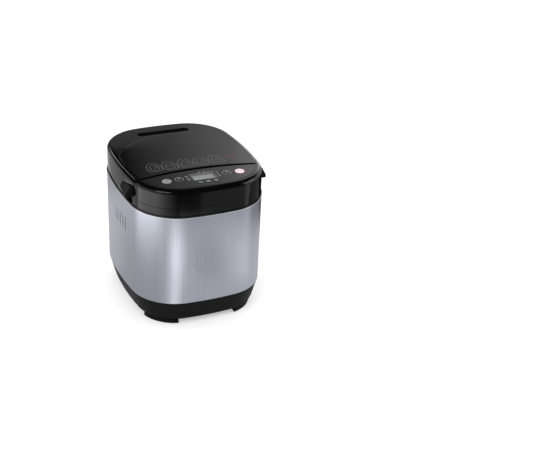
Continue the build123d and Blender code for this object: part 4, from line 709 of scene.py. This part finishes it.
def filled(build, curve):
    """The flat area inside closed lines."""
    return build.node("GeometryNodeFillCurve", set_mode="TRIANGLES", Curve=curve).outputs[0]


def flat_bar(build, length, width):
    """A filled bar with round ends, lying flat."""
    return filled(build, soft_block(build, length, width, build.times(width, 0.45), 3))


def dash_row_tree():
    """A straight row of short bars."""
    build = NodeTree("Dash row", Count="Int", Start="Vector", Pitch="Vector", Length="Float", Width="Float")
    given = build.given
    row = point_row(build, given["Count"], given["Start"], given["Pitch"])
    bar = flat_bar(build, given["Length"], given["Width"])
    return build.close(build.instances(row, bar), "panel_print")


def loaf_outline(build, width, height, dome):
    """A closed loaf outline: a rounded block whose upper half is raised into a crust."""
    soft = soft_block(build, width, height, build.times(height, 0.3), 6)
    even = build.node("GeometryNodeResampleCurve", Curve=soft, Count=56)
    place = build.node("GeometryNodeInputPosition")
    split = build.node("ShaderNodeSeparateXYZ", Vector=place.outputs[0])
    share = build.math("DIVIDE", split.outputs["X"], width)
    fall = build.math("SUBTRACT", 1.0, build.times(build.times(share, share), 4.0))
    above = build.math("GREATER_THAN", split.outputs["Y"], 0.0)
    rise = build.times(build.times(fall, above), dome)
    offset = build.node("ShaderNodeCombineXYZ", Y=rise)
    return build.node("GeometryNodeSetPosition", Geometry=even.outputs[0], Offset=offset.outputs[0]).outputs[0]


def loaf_row_tree():
    """A row of line pictures: each a loaf outline with a smaller one inside and slanted cuts over its crust."""
    build = NodeTree(
        "Loaf row", Count="Int", Start="Vector", Pitch="Vector",
        Width="Float", Height="Float", Dome="Float", Line="Float",
    )
    given = build.given
    row = point_row(build, given["Count"], given["Start"], given["Pitch"])
    shapes = []
    for share in (1.0, 0.62):
        width, height, dome = (build.times(given[side], share) for side in ("Width", "Height", "Dome"))
        inset = build.times(given["Line"], 2.0)
        outer = loaf_outline(build, width, height, dome)
        inner = loaf_outline(build, *(build.math("SUBTRACT", side, inset) for side in (width, height)), dome)
        shapes.append(filled(build, build.join(outer, inner)))
    pitch = build.times(given["Width"], 0.17)
    first = build.node(
        "ShaderNodeCombineXYZ", X=build.times(pitch, -1.0), Y=build.times(given["Height"], 0.12)
    )
    step = build.node("ShaderNodeCombineXYZ", X=pitch)
    cuts = point_row(build, 3, first.outputs[0], step.outputs[0])
    bar = flat_bar(build, build.times(given["Height"], 0.3), given["Line"])
    turned = build.node("GeometryNodeTransform", Geometry=bar, Rotation=(0.0, 0.0, 1.0))
    shapes.append(build.instances(cuts, turned.outputs[0]))
    return build.close(build.instances(row, build.join(*shapes)), "picture_print")


# Operators


class DressPieces:
    """Shared step of the operators that give CAD pieces the finishes of their slots."""

    pieces = ()

    def execute(self, context):
        for node in self.pieces:
            materials = frame["nodes"][node].data.materials
            materials.clear()
            materials.append(finish_for(SLOT_OF[node]))
        return {"FINISHED"}


class BREAD_OT_case(DressPieces, Operator):
    """Finish the base, feet, steel wrap with a painted highlight along its rolled edge, and top frame"""

    bl_idname = "bread.case"
    bl_label = "Case"
    pieces = (
        "base_tray", "feet", "foot_pads", "steel_wrap", "top_frame", "cord_gland", "chassis_screws", "hinge_pins",
    )

    def execute(self, context):
        super().execute(context)
        # The wrap's rolled upper edge gets a paler metal, a painted highlight
        second_finish("steel_wrap", "painted_highlight_edge", upper_rim("steel_wrap", sizes().painted_highlight_edge))
        second_finish("top_frame", "gloss_black", outer_wall)
        return {"FINISHED"}


class BREAD_OT_lid(DressPieces, Operator):
    """Finish the lid with its plate, liner, vent and grips"""

    bl_idname = "bread.lid"
    bl_label = "Lid"
    pieces = ("lid_shell", "lid_top_plate", "lid_liner", "liner_screws", "steam_vent", "lid_grips")


class BREAD_OT_control_panel(DressPieces, Operator):
    """Finish the fascia, the panel, the display and the keys"""

    bl_idname = "bread.control_panel"
    bl_label = "Control panel"
    pieces = (
        "front_fascia", "panel_overlay", "display_window", "lcd_module", "control_board", "board_screws",
        "key_switches", "menu_button", "crust_button", "weight_button", "start_stop_button", "minus_button",
        "light_button", "plus_button",
    )


# Edge lines, a painted highlight with painted shade beside it: node, body, left end, and how far a line stays off the
# node's front and rear, in millimetres
EDGE_LINES = (("lid_top_plate", "lid", -105, 16, 0), ("panel_overlay", "housing", 95, 0, 16))
EDGE_SPACING = 2 * MM
# The painted shade beside the pale painted highlight line: its inset in line widths and its left end in millimetres
SHADE_INSET, SHADE_LEFT = 2.2, 60


class BREAD_OT_edge_lines(Operator):
    """Draw pale painted highlight lines, with painted shade beside them, along the rear and right of the lid plate
    and at the panel's right end
    """

    bl_idname = "bread.edge_lines"
    bl_label = "Edge lines"

    def execute(self, context):
        width = sizes().edge_line
        for node, body, left, off_front, off_rear in EDGE_LINES:
            low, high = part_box(node)
            border = top_border(node, EDGE_SPACING)
            front, rear = low.y + off_front * MM, high.y - off_rear * MM
            # The pale line is a painted highlight on the edge; the dark one beside it is painted shade
            for label, inset, start in (("edge", 1, left), ("shade", SHADE_INSET, SHADE_LEFT)):
                line = moved_inward(border, inset * width)
                bm = bmesh.new()
                for stretch in runs_of(line, lambda point: point.x > start * MM and front < point.y < rear):
                    ribbon(bm, stretch, width)
                lay_print(f"{node}_{label}_line", bm, Ground(node), body, f"{label}_line")
        return {"FINISHED"}


# Places on the lid, in millimetres from the middle and from the plate's front
FIRST_PICTURE = (-81, 34)
RED_RING = (84, 43)
RED_RING_RADIUS, RED_RING_LINE = 8.5 * MM, 2.4 * MM
RED_BAR_HALF, RED_BAR_LINE = Vector((4 * MM, 0)), 3 * MM


class BREAD_OT_lid_pictures(Operator):
    """Print the row of plain loaf outlines and the red ring on the lid"""

    bl_idname = "bread.lid_pictures"
    bl_label = "Lid pictures"

    def execute(self, context):
        own = sizes()
        ground = Ground("lid_top_plate")
        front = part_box("lid_top_plate")[0].y
        first, centre = (Vector((x * MM, front + y * MM)) for x, y in (FIRST_PICTURE, RED_RING))
        flat = flat_from_tree(
            "Lid pictures", loaf_row_tree(), Count=own.picture_count, Start=first.to_3d(),
            Pitch=Vector((own.picture_pitch, 0, 0)), Width=own.picture_width, Height=own.picture_height,
            Dome=own.picture_dome, Line=own.print_line,
        )
        lay_print("Lid_pictures", flat, ground, "lid", "picture_print")
        ring = bmesh.new()
        ribbon(ring, loop_of(centre, RED_RING_RADIUS), RED_RING_LINE, closed=True)
        ribbon(ring, [centre - RED_BAR_HALF, centre + RED_BAR_HALF], RED_BAR_LINE)
        lay_print("Lid_red_ring", ring, ground, "lid", "dim_red_print")
        return {"FINISHED"}


# Rows of marks: name, count, first place from the display's middle, pitch (millimetres), share of the usual length
MARK_ROWS = (
    ("Left_marks", 3, (-32.5, -8.0), (0.0, 8.0), 1.3),
    ("Right_marks", 4, (31.5, -9.0), (0.0, 6.5), 0.7),
    ("Upper_marks", 3, (-2.0, 17.2), (9.5, 0.0), 0.8),
)
# Rings round keys: radius, and line in shares of the usual one
SMALL_RING, SMALL_LINE = 8.4 * MM, 0.8
START_RING, START_LINE = 11 * MM, 1.6


class BREAD_OT_panel_marks(Operator):
    """Print the rings round the keys, and the border and the short marks round the display"""

    bl_idname = "bread.panel_marks"
    bl_label = "Panel marks"

    def execute(self, context):
        own = sizes()
        ground = Ground("panel_overlay")
        tree = dash_row_tree()
        shown = middle_of("display_window").xy
        for name, count, start, pitch, stretch in MARK_ROWS:
            place = shown + Vector(start) * MM
            flat = flat_from_tree(
                name, tree, Count=count, Start=place.to_3d(), Pitch=(Vector(pitch) * MM).to_3d(),
                Length=own.dash_length * stretch, Width=own.dash_width,
            )
            lay_print(name, flat, ground, "housing", "panel_print")
        low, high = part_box("display_window")
        half = own.display_border / 2
        corners = rectangle(low.x - half, low.y - half, high.x + half, high.y + half)
        border = bmesh.new()
        ribbon(border, [Vector(corner) for corner in corners], own.display_border, closed=True)
        lay_print("Display_border", border, ground, "housing", "border_print")
        rings = bmesh.new()
        for node in ("crust_button", "weight_button"):
            ribbon(rings, loop_of(middle_of(node).xy, SMALL_RING), own.print_line * SMALL_LINE, closed=True)
        lay_print("Key_rings", rings, ground, "housing", "panel_print")
        red = bmesh.new()
        start = loop_of(middle_of("start_stop_button").xy, START_RING)
        ribbon(red, start, own.print_line * START_LINE, closed=True)
        lay_print("Start_ring", red, ground, "housing", "red_print")
        return {"FINISHED"}


class BREAD_OT_key_signs(Operator):
    """Print a plain sign on every key"""

    bl_idname = "bread.key_signs"
    bl_label = "Key signs"

    def execute(self, context):
        line = sizes().print_line
        for key, finish, strokes in KEY_SIGNS:
            node, body = f"{key}_button", f"{key}_key"
            centre = middle_of(node).xy
            bm = bmesh.new()
            for stroke in strokes:
                points = [centre + Vector(point) * MM for point in stroke]
                ribbon(bm, points, line, closed=len(points) > 2)
            lay_print(f"{body}_sign", bm, Ground(node), body, finish)
        return {"FINISHED"}


def circle_sign(radius, steps=20):
    """Points round a small circle, in millimetres from a key's middle."""
    return [tuple(point) for point in loop_of((0, 0), radius, steps)]


def level_stroke(half, height=0):
    """A short level line across a key's middle."""
    return [(-half, height), (half, height)]


# Strokes of the signs, in millimetres from a key's middle
LOAF_SIGN = [(-2.6, -1.8), (2.6, -1.8), (2.9, 0.6), (1.8, 1.9), (0, 2.3), (-1.8, 1.9), (-2.9, 0.6)]
WEIGHT_SIGN = [(-2.8, -2.2), (2.8, -2.2), (1.7, 1.6), (-1.7, 1.6)]
START_SIGN = [(-4.6, -2.6), (-4.6, 2.6), (-0.6, 0)]
STOP_SIGN = rectangle(1.4, -2.2, 5.4, 2.2)
RING_SIGN = circle_sign(3.4)
KEY_SIGNS = (
    ("menu", "segment_print", [level_stroke(4, height) for height in (2.6, 0, -2.6)]),
    ("crust", "panel_print", [LOAF_SIGN]),
    ("weight", "panel_print", [WEIGHT_SIGN, level_stroke(0.9, 2.4)]),
    ("start_stop", "red_print", [START_SIGN, STOP_SIGN]),
    ("minus", "panel_print", [RING_SIGN, level_stroke(2)]),
    ("light", "panel_print", [RING_SIGN, circle_sign(1.4)]),
    ("plus", "panel_print", [RING_SIGN, level_stroke(2), [(0, -2), (0, -0.5)], [(0, 0.5), (0, 2)]]),
)


class BREAD_OT_chamber(DressPieces, Operator):
    """Finish the baking chamber, heater and sensor"""

    bl_idname = "bread.chamber"
    bl_label = "Chamber"
    pieces = (
        "oven_chamber", "heating_element", "heater_insulators", "heater_clips", "temperature_sensor",
        "chamber_spacers", "chassis_plate", "pan_socket",
    )


class BREAD_OT_drive(DressPieces, Operator):
    """Finish the belt drive, motor and power board"""

    bl_idname = "bread.drive"
    bl_label = "Drive"
    pieces = (
        "bearing_housing", "shaft_bushes", "drive_shaft", "drive_dog", "driven_pulley", "pulley_clip", "drive_belt",
        "motor_stator", "motor_end_caps", "motor_rotor", "motor_pulley", "motor_capacitor", "board_standoffs",
        "power_board", "power_transformer",
    )


class BREAD_OT_pan(DressPieces, Operator):
    """Finish the loaf pan, its bail and the paddle"""

    bl_idname = "bread.pan"
    bl_label = "Pan"
    pieces = (
        "bread_pan", "pan_base", "pan_bush", "bail_ears", "pan_bail", "pan_shaft", "pan_wing", "kneading_paddle",
    )


class BREAD_OT_stage(Operator):
    """Build the floor, the studio light and the camera"""

    bl_idname = "bread.stage"
    bl_label = "Stage"

    def execute(self, context):
        add_floor()
        add_world()
        add_softboxes()
        add_cards()
        add_camera()
        context.scene.view_settings.view_transform = "Standard"
        return {"FINISHED"}


FLOOR_HALF = 6.0
FLOOR_DROP = 0.2 * MM
FLOOR_GLOW = 0.42
WHITE = (1.0, 1.0, 1.0, 1.0)
BLACK = (0.0, 0.0, 0.0, 1.0)


def add_sheet(name, corners, finish):
    """A flat sheet of the stage."""
    mesh = bpy.data.meshes.new(name)
    mesh.from_pydata(corners, [], [tuple(range(len(corners)))])
    mesh.materials.append(finish.material)
    return new_object(name, mesh)


def add_floor():
    """A pale floor that keeps the shadow and shows white to the camera."""
    finish = Finish("Pale floor").set(
        Base_Color=(0.8, 0.8, 0.8, 1.0), Roughness=0.9, Specular_IOR_Level=0.0, Emission_Color=WHITE
    )
    rays = add_node(finish.tree, "ShaderNodeLightPath")
    finish.feed("Emission Strength", add_math(finish.tree, "MULTIPLY", rays.outputs["Is Camera Ray"], FLOOR_GLOW))
    floor = add_sheet("Floor", lying(-FLOOR_HALF, FLOOR_HALF, -FLOOR_HALF, FLOOR_HALF, -FLOOR_DROP), finish)


def add_world():
    """Even light from all round; a white surround for the camera and for reflections."""
    world = bpy.data.worlds.new("Studio")
    bpy.context.scene.world = world
    world.use_nodes = True
    tree = world.node_tree
    soft = tree.nodes["Background"]
    soft.inputs["Color"].default_value = WHITE
    soft.inputs["Strength"].default_value = studio().ambient
    white = add_node(tree, "ShaderNodeBackground", Color=WHITE, Strength=1.0)
    rays = add_node(tree, "ShaderNodeLightPath").outputs
    seen = add_math(tree, "MAXIMUM", rays["Is Camera Ray"], rays["Is Glossy Ray"])
    seen = add_math(tree, "MAXIMUM", seen, rays["Is Transmission Ray"])
    mix = add_node(tree, "ShaderNodeMixShader", at_0=seen, at_1=soft.outputs[0], at_2=white.outputs[0])
    tree.links.new(mix.outputs[0], tree.nodes["World Output"].inputs["Surface"])


def add_softboxes():
    """Three softboxes: main light from the left front, fill from the right, overhead light."""
    target = Vector((0, 0, studio().target_height))
    boxes = (
        ("Key softbox", (-1.3, -1.2, 1.5), 1.1, studio().key_power),
        ("Fill softbox", (1.6, -0.7, 0.9), 1.0, studio().fill_power),
        ("Top softbox", (0.2, 0.6, 1.9), 1.4, studio().top_power),
    )
    for name, place, size, power in boxes:
        light = bpy.data.lights.new(name, "AREA")
        light.shape = "SQUARE"
        light.size = size
        light.energy = power
        lamp = new_object(name, light)
        lamp.location = place
        lamp.rotation_mode = "QUATERNION"
        lamp.rotation_quaternion = (lamp.location - target).to_track_quat("Z", "Y")


def add_cards():
    """Pale and dark cards that only reflections see, standing or lying round the machine."""
    for name, corners, level in CARDS:
        finish = Finish(name).set(Base_Color=BLACK, Specular_IOR_Level=0.0, Emission_Color=WHITE)
        if isinstance(level, tuple):
            grade_card(finish, corners, level)
        else:
            finish.set(Emission_Strength=level)
        card = add_sheet(name, corners, finish)
        for ray in ("camera", "diffuse", "transmission", "volume_scatter", "shadow"):
            setattr(card, f"visible_{ray}", False)


def grade_card(finish, corners, levels):
    """Lets a card's level run from its left side to its right side."""
    place = add_node(finish.tree, "ShaderNodeSeparateXYZ", Vector=finish.place)
    across = [corner[0] for corner in corners]
    level = add_range(finish.tree, place.outputs["X"], min(across), max(across), *levels)
    finish.feed("Emission Strength", level)


def standing(left, right, y, low, high):
    """Corners of an upright card that faces the front."""
    return [(x, y, z) for x, z in rectangle(left, low, right, high)]


def lying(left, right, front, rear, height):
    """Corners of a level card."""
    return [(x, y, height) for x, y in rectangle(left, front, right, rear)]


def fan(centre, near, far, start, end, height, steps=6):
    """A flat ring sector on the floor; angles run from straight ahead, positive to the right."""
    angles = [math.radians(start + (end - start) * index / steps) for index in range(steps + 1)]
    inner, outer = (
        [(centre[0] + radius * math.sin(a), centre[1] - radius * math.cos(a), height) for a in angles]
        for radius in (near, far)
    )
    return inner + outer[::-1]


def falling_fans(name, centre, near, far, start, end, height, level, count):
    """A row of narrow fans whose level falls to nothing, as the edge of a soft pool of light does."""
    step = (end - start) / count
    for index in range(count):
        left = start + step * index
        share = 1 - (index + 0.5) / count
        corners = fan(centre, near, far, left, left + step, height, steps=1)
        yield f"{name} {index}", corners, level * share**FADE_POWER


FADE_POWER = 1.7
# Fans on the floor round the front left corner: name, near, far, first and last angle, height, level
CORNER = (-0.075, -0.1)
FANS = (
    ("Near streak", 0.1, 0.3, -23, -3, 0.006, 1.5),
    ("Far streak", 0.3, 0.53, -27, 0, 0.006, 2.4),
    ("Left pool", 0.54, 1.1, -118, -62, 0.004, 2.6),
    ("Front pool", 0.59, 1.1, -6, 20, 0.004, 0.02),
    ("Far floor", 1.1, 2.3, -78, 60, 0.004, 0.02),
    ("Front right", 0.59, 1.1, 20, 60, 0.004, 0.4),
    ("Mid left", 0.4, 0.54, -150, -124, 0.002, 0.6),
    ("Left dip", 0.4, 0.54, -124, -24, 0.002, 0.8),
    ("Mid right", 0.32, 0.59, -1, 75, 0.0015, 1.15),
    ("Near left", 0.1, 0.4, -150, -38, 0.002, 0.55),
)
# Cards: name, corners, level or the levels at the left and the right
CARDS = (
    ("Front flag", standing(-2.5, 2.5, -2.3, 0.05, 1.6), 0.02),
    ("Overhead flag", lying(-2.5, 2.5, -2.3, 0.9, 1.6), 0.02),
    ("Rear flag", standing(-1.5, 0.15, 0.9, 0.3, 1.6), 0.015),
    ("Rear grade", standing(0.15, 0.56, 0.9, 0.3, 1.6), (0.015, 0.78)),
    ("Rear right", standing(0.56, 1.1, 0.9, 0.3, 1.6), (0.9, 3.4)),
    ("Rear low strip", standing(-0.2, 0.32, 0.89, 0.5, 0.735), (0.26, 0.33)),
    ("Rear upper flag", standing(-1.5, 1.1, 0.89, 1.06, 1.6), 0.02),
    ("Edge strip", standing(-0.46, -0.3, 0.88, 0.55, 1.1), 2.2),
    ("Right pool", lying(0.5, 1.2, -0.35, 0.12, 0.003), 0.2),
    ("Right dip", lying(0.3, 1.2, 0.12, 1.4, 0.003), 0.02),
    ("Rear left dip", lying(-1.0, -0.2, 0.55, 1.3, 0.003), 0.45),
    *((name, fan(CORNER, *shape), level) for name, *shape, level in FANS),
    ("Front dip", fan((0.09, -0.425), 0.0, 0.09, -180, 180, 0.002, steps=24), 0.5),
    *falling_fans("Left fade", CORNER, 0.54, 1.1, -62, -6, 0.004, 2.6, 14),
)


def add_camera():
    """The photograph's view."""
    settings = studio()
    flat = math.cos(settings.elevation)
    back = Vector((
        math.sin(settings.azimuth) * flat, -math.cos(settings.azimuth) * flat, math.sin(settings.elevation),
    ))
    data = bpy.data.cameras.new("Camera")
    data.lens = settings.lens
    data.sensor_width = 36.0
    data.sensor_fit = "HORIZONTAL"
    data.shift_x = settings.shift_x
    data.shift_y = settings.shift_y
    data.clip_start = 0.05
    camera = new_object("Camera", data)
    camera.location = Vector((0, 0, settings.target_height)) + back * settings.distance
    camera.rotation_mode = "QUATERNION"
    turn = back.to_track_quat("Z", "Y")
    camera.rotation_quaternion = turn @ Quaternion((0, 0, 1), settings.roll)
    bpy.context.scene.camera = camera


class BREAD_PT_panel(Panel):
    """Lists the steps of the bread machine"""

    bl_idname = "BREAD_PT_panel"
    bl_label = "Bread machine"
    bl_space_type = "VIEW_3D"
    bl_region_type = "UI"
    bl_category = "Bread machine"

    def draw(self, context):
        for step in STEPS:
            self.layout.operator(step.bl_idname)


STEPS = (
    BREAD_OT_case, BREAD_OT_lid, BREAD_OT_lid_pictures, BREAD_OT_control_panel, BREAD_OT_edge_lines,
    BREAD_OT_panel_marks, BREAD_OT_key_signs, BREAD_OT_chamber, BREAD_OT_drive, BREAD_OT_pan, BREAD_OT_stage,
)
SETTINGS = {"bread_colours": BreadColours, "bread_sizes": BreadSizes, "bread_studio": BreadStudio}
CLASSES = (*SETTINGS.values(), *STEPS, BREAD_PT_panel)


def register():
    for kind in CLASSES:
        bpy.utils.register_class(kind)
    for name, kind in SETTINGS.items():
        setattr(bpy.types.Scene, name, PointerProperty(type=kind))


def unregister():
    for name in SETTINGS:
        delattr(bpy.types.Scene, name)
    for kind in reversed(CLASSES):
        bpy.utils.unregister_class(kind)


def main():
    register()
    for step in STEPS:
        group, name = step.bl_idname.split(".")
        getattr(getattr(bpy.ops, group), name)()


if __name__ == "__main__":
    main()
